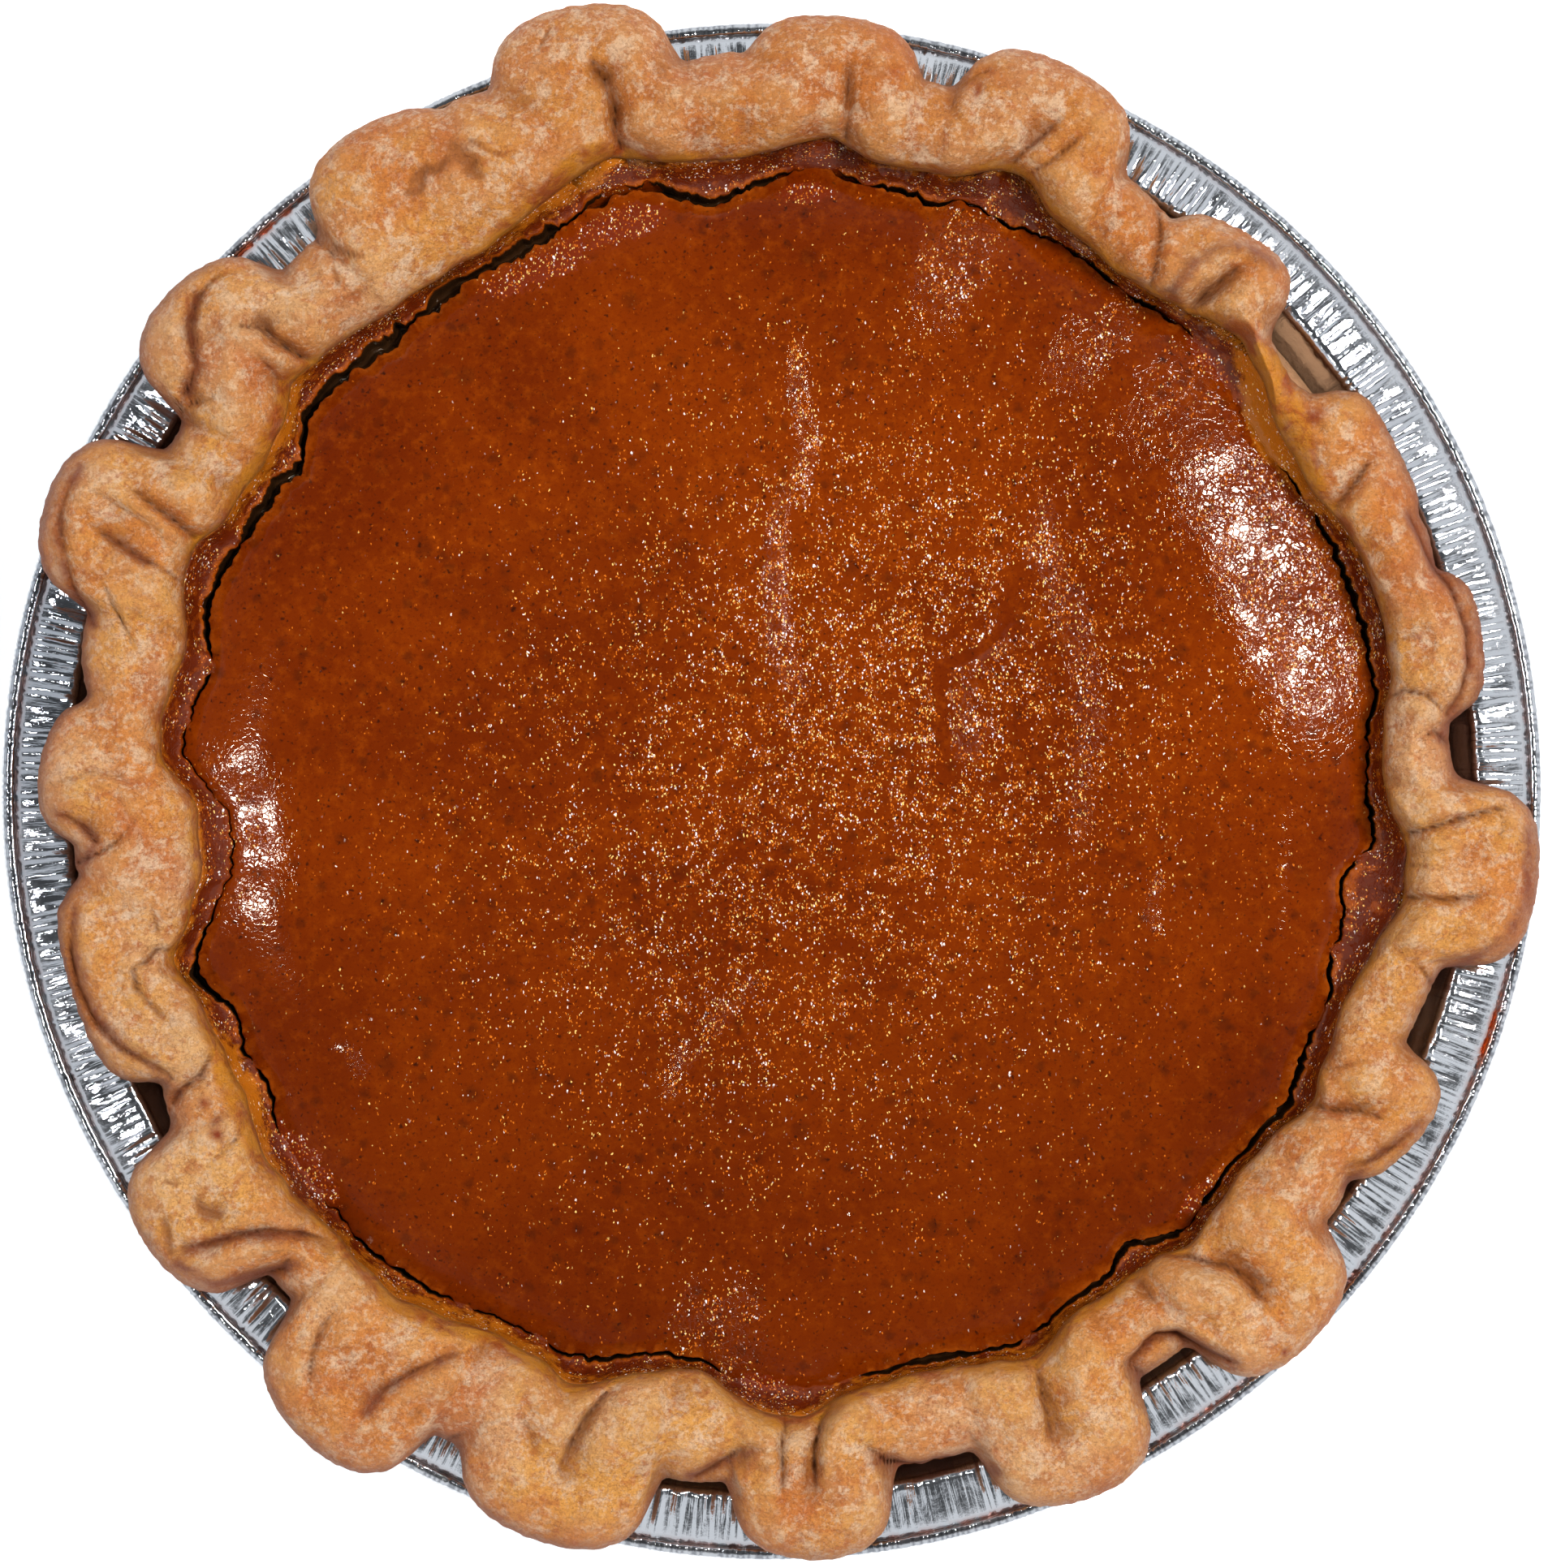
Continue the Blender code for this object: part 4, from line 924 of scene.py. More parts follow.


# %% [markdown]
# Baked pastry is never one colour. Flour stays pale where the dough was dry, butter browns
# in mottles a few millimetres wide, and thin outer edges turn darkest. Near the custard it is
# wet and yellow. The finish mixes those from patterns and from the painted distances to the
# two edges. It also paints shade into the colour, in hollows, creases, the cracks of the
# flaky top, under ledges, where the pastry meets the custard and on most of the outer wall,
# and paints light on the crests and on the wall in the gap beside the tin.

# %% Baked pastry
def pastry_colour(pastry, mottle, fine):
    """The pastry's colour: pale dough, floury flakes, butter mottles and fine browning, with painted shade in hollows
    and painted light on crests.
    """
    broad = pastry.noise(55, detail=3, roughness=0.55)
    colour = pastry.mix(pastry.stretch(broad, 0.38, 0.62), linear(234, 165, 80), linear(222, 138, 64))
    floury = pastry.noise(48, detail=4, roughness=0.6, distortion=0.5)
    colour = pastry.mix(pastry.stretch(floury, 0.46, 0.66, 0, 0.6), colour, linear(240, 194, 144))
    pink = pastry.noise(85, detail=5, roughness=0.6, distortion=0.6)
    colour = pastry.mix(pastry.stretch(pink, 0.50, 0.68, 0, 0.6), colour, linear(196, 108, 62))
    # The whole pastry is browner at the top of the pie, and not at all round the left.
    colour = pastry.mix(pastry.attribute("browner_round"), colour, linear(192, 104, 36))
    colour = pastry.mix(pastry.stretch(mottle, 0.50, 0.68, 0, 0.65), colour, linear(178, 94, 44))
    pale = pastry.noise(230, detail=8, roughness=0.72, distortion=0.3)
    colour = pastry.mix(pastry.stretch(pale, 0.50, 0.62, 0, 0.8), colour, linear(238, 200, 162))
    veins = pastry.math("ABSOLUTE", pastry.math("SUBTRACT", pastry.noise(330, detail=5, roughness=0.7), 0.5))
    colour = pastry.mix(pastry.stretch(veins, 0.03, 0.0, 0, 0.35), colour, linear(148, 76, 36))
    spots = pastry.noise(640, detail=4, roughness=0.6)
    colour = pastry.mix(pastry.stretch(spots, 0.54, 0.66, 0, 0.5), colour, linear(186, 92, 40))
    dust = pastry.noise(900, detail=5, roughness=0.7)
    flour = pastry.stretch(floury, 0.34, 0.56, 0.35, 1.0)
    colour = pastry.mix(pastry.math("MULTIPLY", pastry.stretch(dust, 0.50, 0.64, 0, 0.6), flour),
                        colour, linear(242, 208, 174))
    colour = pastry.mix(pastry.stretch(fine, 0.46, 0.70, 0, 0.4), colour, linear(150, 80, 38))
    # Painted shade in the hollows and painted light on the crests.
    relief_shade = pastry.attribute("relief_shade")
    colour = pastry.mix(pastry.stretch(relief_shade, 0.05, 1.0, 0, 0.6), colour, linear(150, 82, 32))
    return pastry.mix(pastry.stretch(relief_shade, -0.15, -1.0, 0, 0.3), colour, linear(230, 172, 106))


def pastry_finish():
    pastry = Finish("baked_pastry", roughness=0.6)
    mottle = pastry.noise(190, detail=7, roughness=0.68, distortion=0.8)
    fine = pastry.noise(1700, detail=3, roughness=0.65)
    colour = pastry_colour(pastry, mottle, fine)
    wander = pastry.math("MULTIPLY", pastry.math("SUBTRACT", mottle, 0.5), 4.0)
    outer = pastry.math("ADD", pastry.attribute("from_outer"), wander)
    browning = pastry.attribute("browning")
    blush = pastry.math("MULTIPLY", pastry.stretch(outer, 7.0, 1.0), browning)
    colour = pastry.mix(pastry.math("MULTIPLY", blush, 0.4), colour, linear(172, 92, 48))
    rim = pastry.math("MULTIPLY", pastry.stretch(outer, 2.8, 0.0), browning)
    colour = pastry.mix(pastry.math("MULTIPLY", rim, 0.85), colour, linear(126, 62, 32))
    # Browner rims of rolls and seams, and painted shade along the undersides of ledges.
    lines = pastry.math("MULTIPLY", pastry.attribute("brown"), pastry.stretch(mottle, 0.35, 0.6, 0.45, 0.85))
    colour = pastry.mix(lines, colour, linear(132, 64, 38))
    # Painted shade at the bottoms of the creases.
    crease = pastry.stretch(pastry.attribute("crease"), 0.2, 1.0, 0, 0.65)
    colour = pastry.mix(crease, colour, linear(108, 52, 22))
    # Painted shade inside the cracks of the flaky top.
    flake_shade = pastry.stretch(pastry.attribute("flake_shade"), 0.12, 0.6, 0, 0.7)
    colour = pastry.mix(flake_shade, colour, linear(160, 96, 50))
    stain = pastry.math("MULTIPLY", pastry.attribute("stain"), pastry.stretch(mottle, 0.3, 0.5, 0.6, 1))
    colour = pastry.mix(stain, colour, linear(140, 46, 12))
    inner = pastry.math("ADD", pastry.attribute("from_inner"), pastry.math("MULTIPLY", wander, 0.5))
    wet = pastry.stretch(pastry.math("SUBTRACT", inner, pastry.attribute("moist")), 0.6, -0.8)
    syrup = pastry.mix(pastry.stretch(mottle, 0.4, 0.62), linear(214, 136, 26), linear(164, 70, 12))
    colour = pastry.mix(pastry.math("MULTIPLY", wet, 0.8), colour, syrup)
    # Painted shade where the pastry meets the custard, darkest right at its inner edge.
    seam = pastry.stretch(pastry.attribute("from_inner"), 0.25, 0.0, 0, 0.4)
    colour = pastry.mix(seam, colour, linear(104, 58, 18))
    # Painted light on the outer wall in the gap beside the tin, painted shade on the rest of it.
    colour = pastry.mix(pastry.stretch(pastry.attribute("wall"), 0, 1), colour, linear(226, 170, 124))
    colour = pastry.mix(pastry.stretch(pastry.attribute("wall"), 0, -1, 0, 0.75), colour, linear(70, 40, 24))
    pastry.put(colour, pastry.shader.inputs["Base Color"])
    pastry.put(pastry.stretch(wet, 0, 1, 0.6, 0.3), pastry.shader.inputs["Roughness"])
    pastry.shader.inputs["Specular IOR Level"].default_value = 0.3
    lumps = pastry.bump(pastry.noise(480, detail=7, roughness=0.74), 1.45 * MM, 1.0)
    pastry.put(pastry.bump(fine, 0.36 * MM, 0.9, normal=lumps), pastry.shader.inputs["Normal"])
    return pastry


pastry_finish().finish(crust)

# %% [markdown]
# ## The custard
#
# The custard rose in a smooth ring and fell back in the middle, where its skin dried in fine
# pebbles that glitter; the glitter is partly their bump and partly glints painted into the
# colour as painted highlights. Near the pastry it pulled away and cracked, and beyond the
# crack a wet film still climbs the dough. The crack is a real groove: its lips, walls and
# bottom are rings of the turned mesh that follow a wandering line.

# %% The crack's course
CRACK = (
    (0, 97), (2, 98.5), (4.5, 100.2), (6, 98.5), (8, 97.3), (13, 97.3), (15, 96.3), (18, 98.5),
    (22, 97), (25, 98), (30, 98), (36, 96.8), (41, 98.5), (50, 96), (56, 95), (60, 96.3), (70, 97.2),
    (81, 97), (84, 94.6), (91, 94), (95, 96), (96, 93.8), (98.5, 91.3), (100, 91), (102, 92.8),
    (107, 92), (110, 94), (115, 93.5), (120, 95), (123, 95.7), (128, 93.8), (134, 95),
    (137, 95.3), (140, 93), (142, 91), (145, 93), (151, 94.3), (157, 95.8), (162, 94),
    (166, 93.2), (171, 94.5), (178, 94.5), (184.5, 93.2), (186.5, 91.2), (190, 90.3),
    (193, 91.2), (197, 94), (201, 95), (205, 93.6), (211, 95), (216.5, 96), (222, 97),
    (226, 96), (236, 95), (240, 92.2), (243.5, 93.3), (248, 91.7), (252, 96.5), (255, 94),
    (257, 91), (259, 89.5), (261, 86.8), (264, 85.9), (268, 85.9), (269.5, 88.5), (271.5, 90.5),
    (273.5, 93.5), (278, 92.8), (281, 91.3), (283, 91), (287, 94), (290, 94.6), (295, 92.8),
    (301, 92.5), (305, 90.7), (308.5, 95), (313, 95), (316, 94), (321, 93.5), (327, 94.5),
    (333, 94.5), (339, 95.5), (343, 97.3), (345, 98.5), (349, 97.8), (352.5, 94.5),
    (354, 93.6), (358, 96),
)
# How wide the crack gapes round the pie, in mm; where it is 0 the skin is whole.
CRACK_WIDTH = (
    (0, 1.1), (4, 1.0), (8, 0.9), (16, 1.0), (24, 0.5), (32, 0.9), (40, 1.0), (43, 0), (56, 0),
    (60, 0.5), (67, 1.0), (75, 1.0), (81, 0.6), (90, 0.9), (95, 0.5), (100, 0.6), (112, 0.8),
    (122, 1.2), (128, 0.6), (137, 1.2), (143, 1.2), (150, 0.7), (158, 0.6), (163, 1.5),
    (168, 0.9), (173, 0), (183, 0), (187, 0.7), (191, 0.6), (197, 0.9), (203, 0.3), (212, 0.4),
    (218, 0.8), (225, 0.4), (229, 0), (234, 0), (238, 0.6), (248, 0.6), (252, 1.8), (255, 0.9),
    (258, 0.3), (264, 0.3), (268, 0.2), (272, 0.3), (280, 0.5), (288, 1.2), (294, 1.2),
    (300, 2.0), (305, 1.9), (308, 1.0), (312, 1.8), (317, 2.2), (322, 3.0), (328, 2.6),
    (333, 2.4), (338, 2.6), (345, 1.8), (350, 1.6), (354, 1.2),
)
CRACK_DEPTH = 4.2 * MM
Streak = namedtuple("Streak", "width height line")
# Wrinkles of the skin, as (x, y) in mm from the middle; a negative height is a sunken line.
STREAKS = (
    Streak(1.5, 0.36, ((3.6, 70), (4.2, 63.4), (6.2, 55.1), (4.2, 49.3), (1.0, 42.9), (0.4, 35.2),
                       (0.8, 25.0), (4.2, 16.0))),
    Streak(2.4, 0.26, ((43, 46), (42.5, 38), (47, 30), (50.5, 14), (48, -6))),
    Streak(1.8, 0.30, ((30.0, 17.5), (32.0, 10.0), (30.5, 5.4))),
    Streak(1.3, 0.34, ((36.6, 24.0), (33.6, 19.5))),
    Streak(1.0, -0.34, ((38.0, 34.0), (37.2, 27.2), (33.8, 22.4), (26.6, 19.6), (27.2, 2))),
    Streak(0.6, 0.2, ((81, -3.2), (80.4, -12), (79.7, -22.4))),
    Streak(1.0, 0.35, ((61, -13.5), (60, -19.8), (61.5, -23))),
    Streak(0.8, -0.5, ((-23.3, -64.6), (-13, -67.8), (1, -68.7), (11.3, -66.5), (22.8, -64))),
    Streak(1.6, 0.3, ((-4, -31), (-13, -41), (-16, -47))),
    Streak(1.2, 0.34, ((-67.0, -40.6), (-64.6, -43.8))),
)
FIELD_RINGS = 52
CUSTARD_STEPS = STEPS


def draw_streaks(x, y):
    height = np.zeros_like(x)
    for streak in STREAKS:
        points = np.array(streak.line) * MM
        for start, end in zip(points, points[1:]):
            run = end - start
            share = np.clip(((x - start[0]) * run[0] + (y - start[1]) * run[1]) / (run @ run), 0, 1)
            gap = np.hypot(x - start[0] - share * run[0], y - start[1] - share * run[1])
            height += streak.height * MM * np.exp(-((gap / (streak.width * MM)) ** 2))
    return height


# %% Custard shape
# Where the skin stayed wet and rippled: clock angle, half-width round it in degrees, strength.
WET_SPANS = ((67, 15, 1.0), (45, 4, 0.4), (35, 3, 0.8), (19, 3.5, 1.0), (265.5, 7.5, 0.5), (186, 5, 0.8))


def wet_share(radius, angle):
    """How wet and rippled the skin is, from 0 to 1: a few stretches along the edge."""
    turn = np.degrees(angle)
    share = sum(strength * np.exp(-(((turn - at) / half) ** 4)) for at, half, strength in WET_SPANS)
    return share * smoothstep(73 * MM, 83 * MM, radius)


# Where it falls to the edge as one even slope: clock angle, half-width round it, slope.
EVEN_SLOPES = ((67, 12, 0.134), (265.5, 6.5, 0.088))


def custard_level(radius, angle):
    """The skin's height: sunk in the middle, a smooth swelling near the edge, then falling."""
    swell = 1.1 * MM * smoothstep(52 * MM, 78 * MM, radius)
    fall = 2.2 * MM * np.clip((radius - 79 * MM) / (17 * MM), 0, 1.2) ** 1.6
    for at, half, slope in EVEN_SLOPES:
        near = np.exp(-(((np.degrees(angle) - at) / half) ** 4))
        away = radius - 77 * MM
        even = 0.5 * slope * (np.hypot(away, 2 * MM) + away)
        fall = fall + near * (even - fall)
    waves = 0.28 * MM * grain(radius, angle, 0.0, 16 * MM) * (1 - 0.8 * smoothstep(64 * MM, 76 * MM, radius))
    waves += 0.09 * MM * wet_share(radius, angle) * grain(radius, angle, 4.0, 4 * MM)
    x, y = radius * np.sin(angle), radius * np.cos(angle)
    return FILL_LINE - 1.2 * MM + swell - fall + waves + 0.75 * draw_streaks(x, y)


def crack_lines(angle, edge):
    """The crack's inner lip, its outer lip, its depth and the skin's height along it."""
    course = around(CUSTARD_STEPS, CRACK, 0.35) * MM
    course += 0.6 * MM * grain(course[None], angle[None], 0.0, 2.0 * MM, 5)[0]
    course = np.minimum(course, edge - 1.2 * MM)
    half = 0.45 * around(CUSTARD_STEPS, CRACK_WIDTH, 0.6) * MM
    half *= 0.2 + 0.9 * smoothstep(-0.5, -0.05, grain(course[None], angle[None], 9.0, 6 * MM, 2)[0])
    depth = CRACK_DEPTH * smoothstep(0.05 * MM, 0.25 * MM, half)
    inner_lip = course - half * (1 + 0.6 * grain(course[None], angle[None], 3.0, 2.2 * MM, 3)[0])
    outer_lip = course + half * (1 + 0.8 * grain(course[None], angle[None], 6.0, 1.8 * MM, 3)[0])
    outer_lip = np.maximum(np.minimum(outer_lip, edge - 0.5 * MM), inner_lip + 0.1 * MM)
    return inner_lip, outer_lip, depth, custard_level(course[None], angle)[0]


def custard_rings(angle, edge, film_top):
    """Rings from the middle outwards over the skin, down the crack, up again and over the film."""
    inner_lip, outer_lip, depth, at_crack = crack_lines(angle, edge)
    shares = np.linspace(0.03, 1, FIELD_RINGS) ** 0.85
    radius = shares[:, None] * (inner_lip - 0.8 * MM)
    radii, heights = list(radius), list(custard_level(radius, angle))
    for out, low in ((-0.35, 0.02), (-0.04, 0.16)):
        radii.append(inner_lip + out * MM)
        heights.append(at_crack - low * MM)
    gap = outer_lip - inner_lip
    for share, down in ((0.10, 0.3), (0.3, 0.75), (0.45, 1.0), (0.6, 1.0), (0.8, 0.7), (0.93, 0.25)):
        radii.append(inner_lip + share * gap)
        heights.append(at_crack - depth * down)
    curl = 0.35 * MM * (0.6 + grain(outer_lip[None], angle[None], 2.0, 1.5 * MM, 2)[0])
    for share in np.linspace(0.0, 1, 9):
        radii.append(outer_lip + 0.1 * MM + share * (edge - outer_lip - 0.1 * MM))
        climb = (film_top - at_crack) * (0.2 * share + 0.8 * share**2.2) + curl * (1 - share) ** 2
        lumps = grain(radii[-1][None], angle[None], 1.0, 1.5 * MM, 2)[0]
        heights.append(at_crack + climb + 0.3 * MM * lumps * (1 - share**2))
    radii.append(np.minimum(edge, 98.2 * MM) - 0.2 * MM)
    heights.append(np.full(CUSTARD_STEPS, 23.5 * MM))
    radii.append(np.full(CUSTARD_STEPS, 86.4 * MM))
    heights.append(np.full(CUSTARD_STEPS, 4.7 * MM))
    return np.array(radii), np.array(heights), inner_lip, outer_lip, at_crack


def make_custard():
    angle = clock_angles(CUSTARD_STEPS)
    edge = crust_inner_edge(CUSTARD_STEPS) + 0.35 * MM
    film_top = crust_inner_level - 0.5 * MM
    radii, heights, inner_lip, outer_lip, at_crack = custard_rings(angle, edge, film_top)
    middle_level = float(heights[0].mean())
    obj, ring, step, at_middle = turned_piece("custard_skin", radii, heights, (middle_level, 4.7 * MM))
    here = np.where(at_middle, 0, radii[ring, step])
    beyond = (here - outer_lip[step]) / (edge - outer_lip)[step]
    paint(obj, "film", np.clip(beyond, 0, 1) * (ring >= FIELD_RINGS + 8))
    paint(obj, "from_crust", np.maximum(edge[step] - here, 0) / MM)
    in_crack = (ring >= FIELD_RINGS + 2) & (ring < FIELD_RINGS + 8)
    # How far below the lips the crack goes, for its painted shade.
    sunk = np.clip((at_crack[step] - heights[ring, step]) / (3 * MM), 0, 1)
    paint(obj, "sunk", sunk * in_crack)
    lip = (ring == FIELD_RINGS + 1) + 0.7 * (ring == FIELD_RINGS) + 0.35 * (ring == FIELD_RINGS - 1)
    lip = lip + 1.0 * (ring == FIELD_RINGS + 8) + 0.8 * (ring == FIELD_RINGS + 9)
    paint(obj, "lip", lip * (outer_lip - inner_lip > 0.5 * MM)[step])
    co = np.empty((len(obj.data.vertices), 3), np.float32)
    obj.data.vertices.foreach_get("co", co.ravel())
    # Pebbles fill the sunken middle and thin out all round, and set how crowded the painted glints are; the skin is
    # painted darker towards the front, as painted shade.
    off = np.hypot(co[:, 0] - 26 * MM, co[:, 1] - 26 * MM), np.hypot(co[:, 0] + 2 * MM, co[:, 1] + 16 * MM)
    paint(obj, "pebbles", 0.78 * np.exp(-((off[0] / (40 * MM)) ** 2)) + 0.6 * np.exp(-((off[1] / (47 * MM)) ** 2)))
    paint(obj, "front_shade", smoothstep(20 * MM, -75 * MM, co[:, 1]))
    turn = np.degrees(clock_angles(CUSTARD_STEPS))[step]
    ripples = np.maximum(wet_share(here, np.radians(turn)), (beyond > 0) * 0.6)
    streaks = np.clip(draw_streaks(co[:, 0], co[:, 1]) / (0.4 * MM), -1, 1)
    ripples = np.maximum(ripples, 1.0 * streaks)
    paint(obj, "streaks", streaks)
    paint(obj, "ripples", ripples)
    paint(obj, "moist", around(CUSTARD_STEPS, MOIST, 1.5)[step])
    dry = np.zeros(len(co))
    for angle_at, radius_at, length, width in DRY_PATCHES:
        outward = clock_direction(math.radians(angle_at))
        offset = co[:, :2] - radius_at * MM * outward
        along = offset @ np.array([outward[1], -outward[0]])
        across = offset @ outward
        dry = np.maximum(dry, np.exp(-((along / (length * MM)) ** 2) - (across / (width * MM)) ** 2))
    paint(obj, "dry", dry)
    return obj


# Dull skin that dried pale: angle, radius, half-length round and half-width across, in mm.
DRY_PATCHES = (
    (336, 91.0, 12, 3.2), (345, 93.0, 9, 3.4), (232, 94.5, 11, 2.6), (45, 97, 6, 1.6),
    (133, 93, 6, 1.6), (181, 94, 4, 2.0), (3, 95, 5, 2),
)
custard = make_custard()


# %% [markdown]
# Pumpkin, egg and dark spice turn a deep red-brown in the oven. The finish has wandering
# darker and lighter clouds, specks of spice in two sizes, a fine pebble bump in the middle, and
# a clear gloss over it all except on the dried patches. Bright glints are painted into the
# colour as painted highlights, on the pebbles, the streaks, the wet stretches and the film, and
# the skin is painted darker towards the front as painted shade. Beyond the crack the film turns
# yellower as it thins over the dough, with painted shade where it meets the pastry, and inside
# the crack it is wet and painted darker the further down it goes, as painted shade.

# %% Pumpkin custard
SPICES = (
    # cells per metre, size of a speck in its cell, share of cells left bare, darkness
    (1100, 0.16, 0.50, 0.60),
    (640, 0.13, 0.38, 0.82),
    (330, 0.09, 0.50, 0.90),
    (300, 0.22, 0.50, 0.42),
    (150, 0.18, 0.60, 0.38),
)


def spice_specks(skin, colour):
    place = skin.jitter(900.0, 1.4 * MM)
    for scale, size, bare, dark in SPICES:
        away, luck = skin.spots(scale, place)
        spot = skin.stretch(away, size * 1.8, size * 0.4)
        chosen = skin.stretch(luck, bare, bare + 0.06)
        share = skin.math("MULTIPLY", skin.math("MULTIPLY", spot, chosen), dark)
        colour = skin.mix(share, colour, linear(46, 14, 4))
    return colour


# Glints painted into the skin's colour as painted highlights: cells per metre, size in the cell, share of cells,
# colour.
PAINTED_GLINTS = (
    (2700, 0.34, 0.32, (200, 104, 26)),
    (2500, 0.30, 0.19, (242, 198, 112)),
    (2300, 0.28, 0.15, (253, 234, 224)),
    (1500, 0.24, 0.07, (255, 248, 244)),
)


def glints(skin, colour, crowd):
    """Painted highlights: bright specks painted into the colour; the crowd value tells how much of the usual number
    there is.
    """
    place = skin.scaled(skin.jitter(1400.0, 0.8 * MM), (1.25, 0.75, 1.0))
    for scale, size, share, tone in PAINTED_GLINTS:
        away, luck = skin.spots(scale, place)
        spot = skin.stretch(away, size * 1.5, size * 0.7)
        luck = skin.math("ADD", luck, skin.math("MULTIPLY", crowd, share))
        colour = skin.mix(skin.math("MULTIPLY", spot, skin.stretch(luck, 1.0, 1.03)), colour, linear(*tone))
    return colour


def custard_colour(skin, mottle, fine):
    """Cooked pumpkin: clouds of darker and redder brown, flecked with spice, and painted darker towards the front as
    painted shade.
    """
    clouds = skin.noise(28, detail=4, roughness=0.6)
    colour = skin.mix(skin.stretch(clouds, 0.35, 0.65), linear(98, 30, 0), linear(117, 41, 0))
    colour = skin.mix(skin.stretch(mottle, 0.45, 0.72, 0, 0.45), colour, linear(146, 62, 2))
    colour = skin.mix(skin.stretch(fine, 0.52, 0.72, 0, 0.45), colour, linear(72, 16, 0))
    # Painted shade: darker towards the front of the pie.
    colour = skin.mix(skin.stretch(skin.attribute("front_shade"), 0, 1, 0, 0.35), colour, linear(78, 22, 0))
    return spice_specks(skin, colour)


def film_colour(skin, mottle, colour):
    """The wet film beyond the crack, ochre where it thins out over the dough, with painted shade where it meets the
    pastry.
    """
    film = skin.attribute("film")
    colour = skin.mix(skin.stretch(film, 0.0, 0.3, 0, 0.8), colour, linear(86, 26, 6))
    patches = skin.noise(360, detail=4, roughness=0.65)
    colour = skin.mix(skin.math("MULTIPLY", skin.stretch(film, 0.0, 0.2), skin.stretch(patches, 0.52, 0.68, 0, 0.5)),
                      colour, linear(160, 72, 12))
    uneven = skin.math("MULTIPLY", skin.math("SUBTRACT", mottle, 0.5), 5.0)
    rind = skin.math("SUBTRACT", skin.math("ADD", skin.attribute("from_crust"), uneven), skin.attribute("moist"))
    colour = skin.mix(skin.stretch(rind, 0.0, -1.4, 0, 0.85), colour, linear(186, 104, 18))
    # Painted shade: darker right beside the pastry.
    return skin.mix(skin.stretch(skin.attribute("from_crust"), 0.5, 0.1, 0, 0.4), colour, linear(84, 46, 12))


def custard_finish():
    skin = Finish("pumpkin_custard")
    mottle = skin.noise(420, detail=5, roughness=0.7)
    fine = skin.noise(1600, detail=3, roughness=0.6)
    colour = custard_colour(skin, mottle, fine)
    worn = skin.math("ADD", skin.attribute("dry"), skin.math("MULTIPLY", skin.math("SUBTRACT", mottle, 0.5), 1.6))
    dry = skin.stretch(worn, 0.40, 0.56)
    colour = skin.mix(skin.math("MULTIPLY", dry, 0.75), colour, linear(112, 36, 10))
    colour = film_colour(skin, mottle, colour)
    clusters = skin.stretch(skin.noise(140, detail=5, roughness=0.65), 0.34, 0.62, 0.35, 1.25)
    clusters = skin.math("MULTIPLY", clusters, skin.stretch(skin.noise(430, detail=3), 0.36, 0.6, 0.3, 1.5))
    streaks = skin.attribute("streaks")
    broken = skin.stretch(skin.noise(330, detail=3), 0.42, 0.56)
    # How crowded the painted glints are; this also sets the strength of the fine grit bump.
    crowd = skin.math("MULTIPLY", skin.math("ADD", skin.attribute("pebbles"), 0.04), clusters)
    crowd = skin.math("MAXIMUM", crowd, skin.math("MULTIPLY", skin.stretch(streaks, 0.3, 0.9, 0, 2.2), broken))
    crowd = skin.math("MAXIMUM", crowd, skin.math("MULTIPLY", dry, 0.9))
    beyond = skin.math("MULTIPLY", skin.stretch(skin.attribute("film"), 0.0, 0.1, 0, 0.9), broken)
    crowd = skin.math("MAXIMUM", crowd, beyond)
    wet = skin.math("MULTIPLY", skin.math("MULTIPLY", skin.attribute("ripples"), 1.2), broken)
    crowd = skin.math("MAXIMUM", crowd, wet)
    crowd = skin.math("MULTIPLY", crowd, skin.stretch(streaks, -0.15, -0.5, 1, 0))
    colour = glints(skin, colour, crowd)
    lip = skin.math("MULTIPLY", skin.attribute("lip"), skin.stretch(mottle, 0.35, 0.6, 0.1, 0.75))
    colour = skin.mix(lip, colour, linear(168, 80, 14))
    # Painted shade inside the crack, darker the further down it goes.
    sunk = skin.stretch(skin.attribute("sunk"), 0.02, 0.35, 0, 0.95)
    colour = skin.mix(sunk, colour, linear(42, 28, 14))
    skin.put(colour, skin.shader.inputs["Base Color"])
    skin.put(skin.math("ADD", 0.06, skin.math("MULTIPLY", dry, 0.15)), skin.shader.inputs["Roughness"])
    skin.shader.inputs["Specular IOR Level"].default_value = 0.36
    skin.shader.inputs["Specular Tint"].default_value = (1.0, 0.88, 0.74, 1.0)
    ragged = skin.stretch(skin.noise(170, detail=3), 0.36, 0.56, 0.1, 1.0)
    ripples = skin.math("ADD", 0.04, skin.math("MULTIPLY", skin.attribute("ripples"), ragged))
    plates = skin.cells(950, "DISTANCE_TO_EDGE", place=skin.jitter(700.0, 1.6 * MM))
    coarse = skin.bump(skin.stretch(plates, 0.0, 0.13), 0.08 * MM, ripples)
    coarse = skin.bump(skin.noise(560, detail=2, distortion=0.5), 0.09 * MM, ripples, normal=coarse)
    grit = skin.noise(1500, detail=1.5, roughness=0.5)
    strength = skin.stretch(crowd, 0.1, 1, 0.04, 0.45)
    skin.put(skin.bump(grit, 0.36 * MM, strength, normal=coarse), skin.shader.inputs["Normal"])
    return skin


custard_finish().finish(custard)

# %% [markdown]
# ## Joining the frame
#
# Each new skin stands for one solid and moves with it.

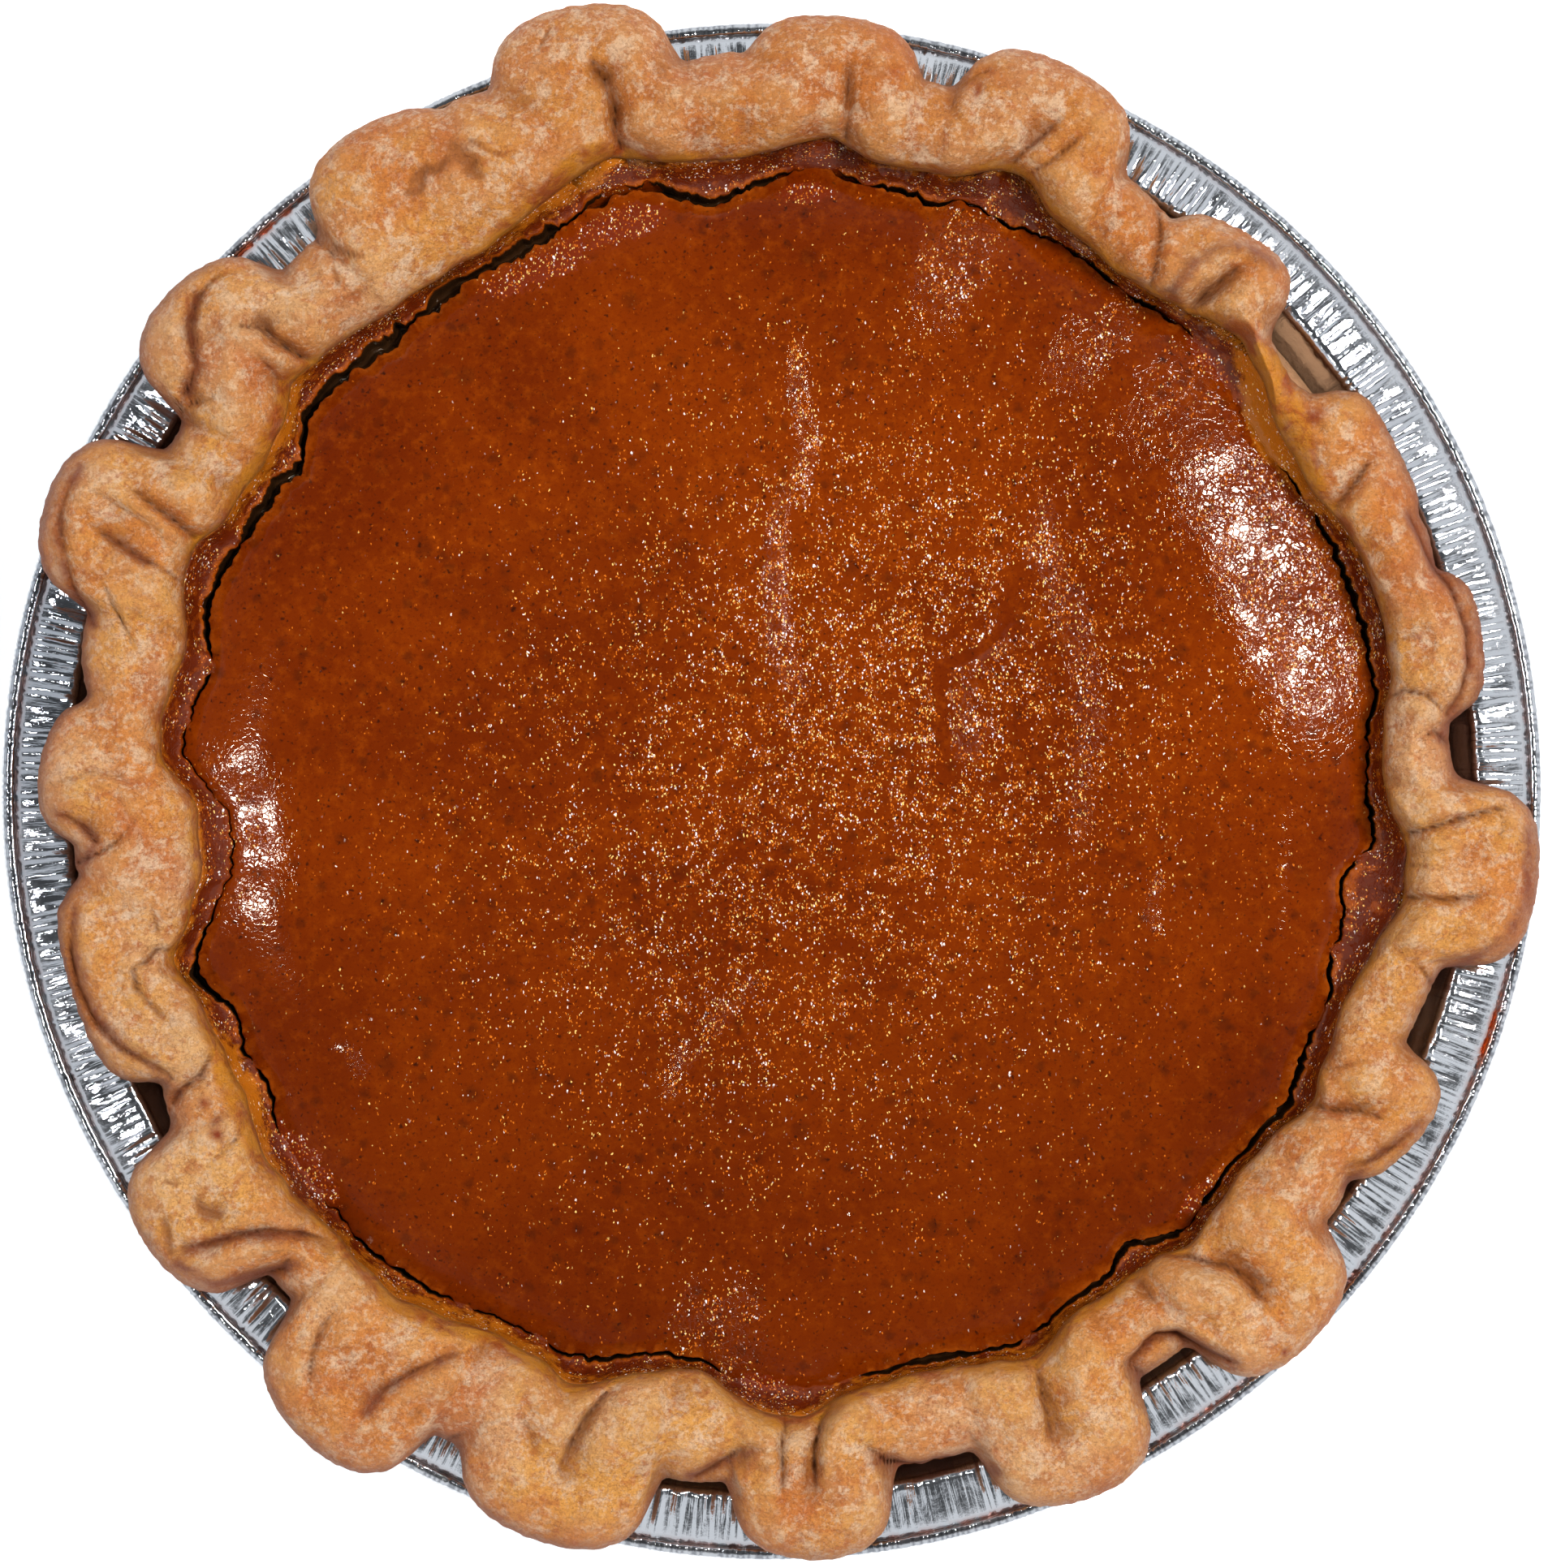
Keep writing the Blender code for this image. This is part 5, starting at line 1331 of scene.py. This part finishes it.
# %% Riding and replacing
for piece, node, slot in ((tin, "foil_tin", "foil"), (crust, "crust", "pastry"),
                          (custard, "filling", "custard")):
    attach(piece, "root")
    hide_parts(node)

# %% [markdown]
# ## Table, light and camera
#
# The pie lies on a pale table and is looked at from straight above. A soft box over its upper
# right shades the flutes and glints on the custard, a smaller one on the left answers it, and
# a bright room fills the rest.

# %% Table
def make_floor():
    mesh = bpy.data.meshes.new("floor")
    bm = bmesh.new()
    bmesh.ops.create_grid(bm, x_segments=1, y_segments=1, size=3.0)
    bm.to_mesh(mesh)
    bm.free()
    floor = bpy.data.objects.new("floor", mesh)
    bpy.context.scene.collection.objects.link(floor)
    table = Finish("pale_table", roughness=0.9)
    table.shader.inputs["Base Color"].default_value = (0.93, 0.93, 0.93, 1)
    table.shader.inputs["Specular IOR Level"].default_value = 0.1
    table.shader.inputs["Emission Color"].default_value = (1, 1, 1, 1)
    table.shader.inputs["Emission Strength"].default_value = 0.35
    table.finish(floor)


make_floor()


# %% Lights
def soft_box(name, clock, elevation, distance, width, length, power, mirrored=True):
    """A rectangular lamp aimed at the pie from a clock angle and an elevation in degrees."""
    light = bpy.data.lights.new(name, "AREA")
    light.shape = "RECTANGLE"
    light.size = width
    light.size_y = length
    light.energy = power
    light.color = (1.0, 0.98, 0.97)
    lamp = bpy.data.objects.new(name, light)
    turn, lift = math.radians(clock), math.radians(elevation)
    flat = distance * math.cos(lift)
    place = Vector((flat * math.sin(turn), flat * math.cos(turn), distance * math.sin(lift)))
    lamp.location = place
    lamp.rotation_euler = (-place).to_track_quat("-Z", "Y").to_euler()
    lamp.visible_glossy = mirrored
    bpy.context.scene.collection.objects.link(lamp)


soft_box("key", 69, 65, 1.2, 0.22, 0.22, 8.6, mirrored=False)
soft_box("key_glint", 67, 65, 1.0, 0.085, 0.095, 2.9)
soft_box("left_glint", 265.5, 70, 1.2, 0.045, 0.10, 1.6)
soft_box("left", 250, 60, 1.4, 0.30, 0.30, 2.2, mirrored=False)


# %% [markdown]
# The room is darker straight overhead, where the camera hangs, than round its walls. The flat
# custard mirrors the ceiling, so this keeps its colour deep, while every tilted pleat of the
# foil and every pebble still finds something bright to mirror.

# %% Room
def make_room(low, high):
    world = bpy.data.worlds.new("room")
    bpy.context.scene.world = world
    world.use_nodes = True
    nodes, links = world.node_tree.nodes, world.node_tree.links
    direction = nodes.new("ShaderNodeTexCoord").outputs["Generated"]
    split = nodes.new("ShaderNodeSeparateXYZ")
    links.new(direction, split.inputs["Vector"])
    fall = nodes.new("ShaderNodeMapRange")
    fall.interpolation_type = "SMOOTHSTEP"
    for name, value in (("From Min", 0.76), ("From Max", 0.94), ("To Min", high), ("To Max", low)):
        fall.inputs[name].default_value = value
    links.new(split.outputs["Z"], fall.inputs["Value"])
    background = nodes["Background"]
    background.inputs["Color"].default_value = (0.95, 0.97, 1.0, 1)
    links.new(fall.outputs["Result"], background.inputs["Strength"])


make_room(0.08, 0.80)

# %% Camera
CAMERA_HEIGHT = 0.75
VIEW_HEIGHT = 247.3 * MM
VIEW_CENTRE = (0.2 * MM, 1.2 * MM)
camera_data = bpy.data.cameras.new("camera")
camera_data.sensor_width = 36
camera_data.lens = 36 * CAMERA_HEIGHT / VIEW_HEIGHT
camera = bpy.data.objects.new("camera", camera_data)
camera.location = (*VIEW_CENTRE, FLANGE_TOP + CAMERA_HEIGHT)
bpy.context.scene.collection.objects.link(camera)
bpy.context.scene.camera = camera
bpy.context.scene.view_settings.view_transform = "Standard"
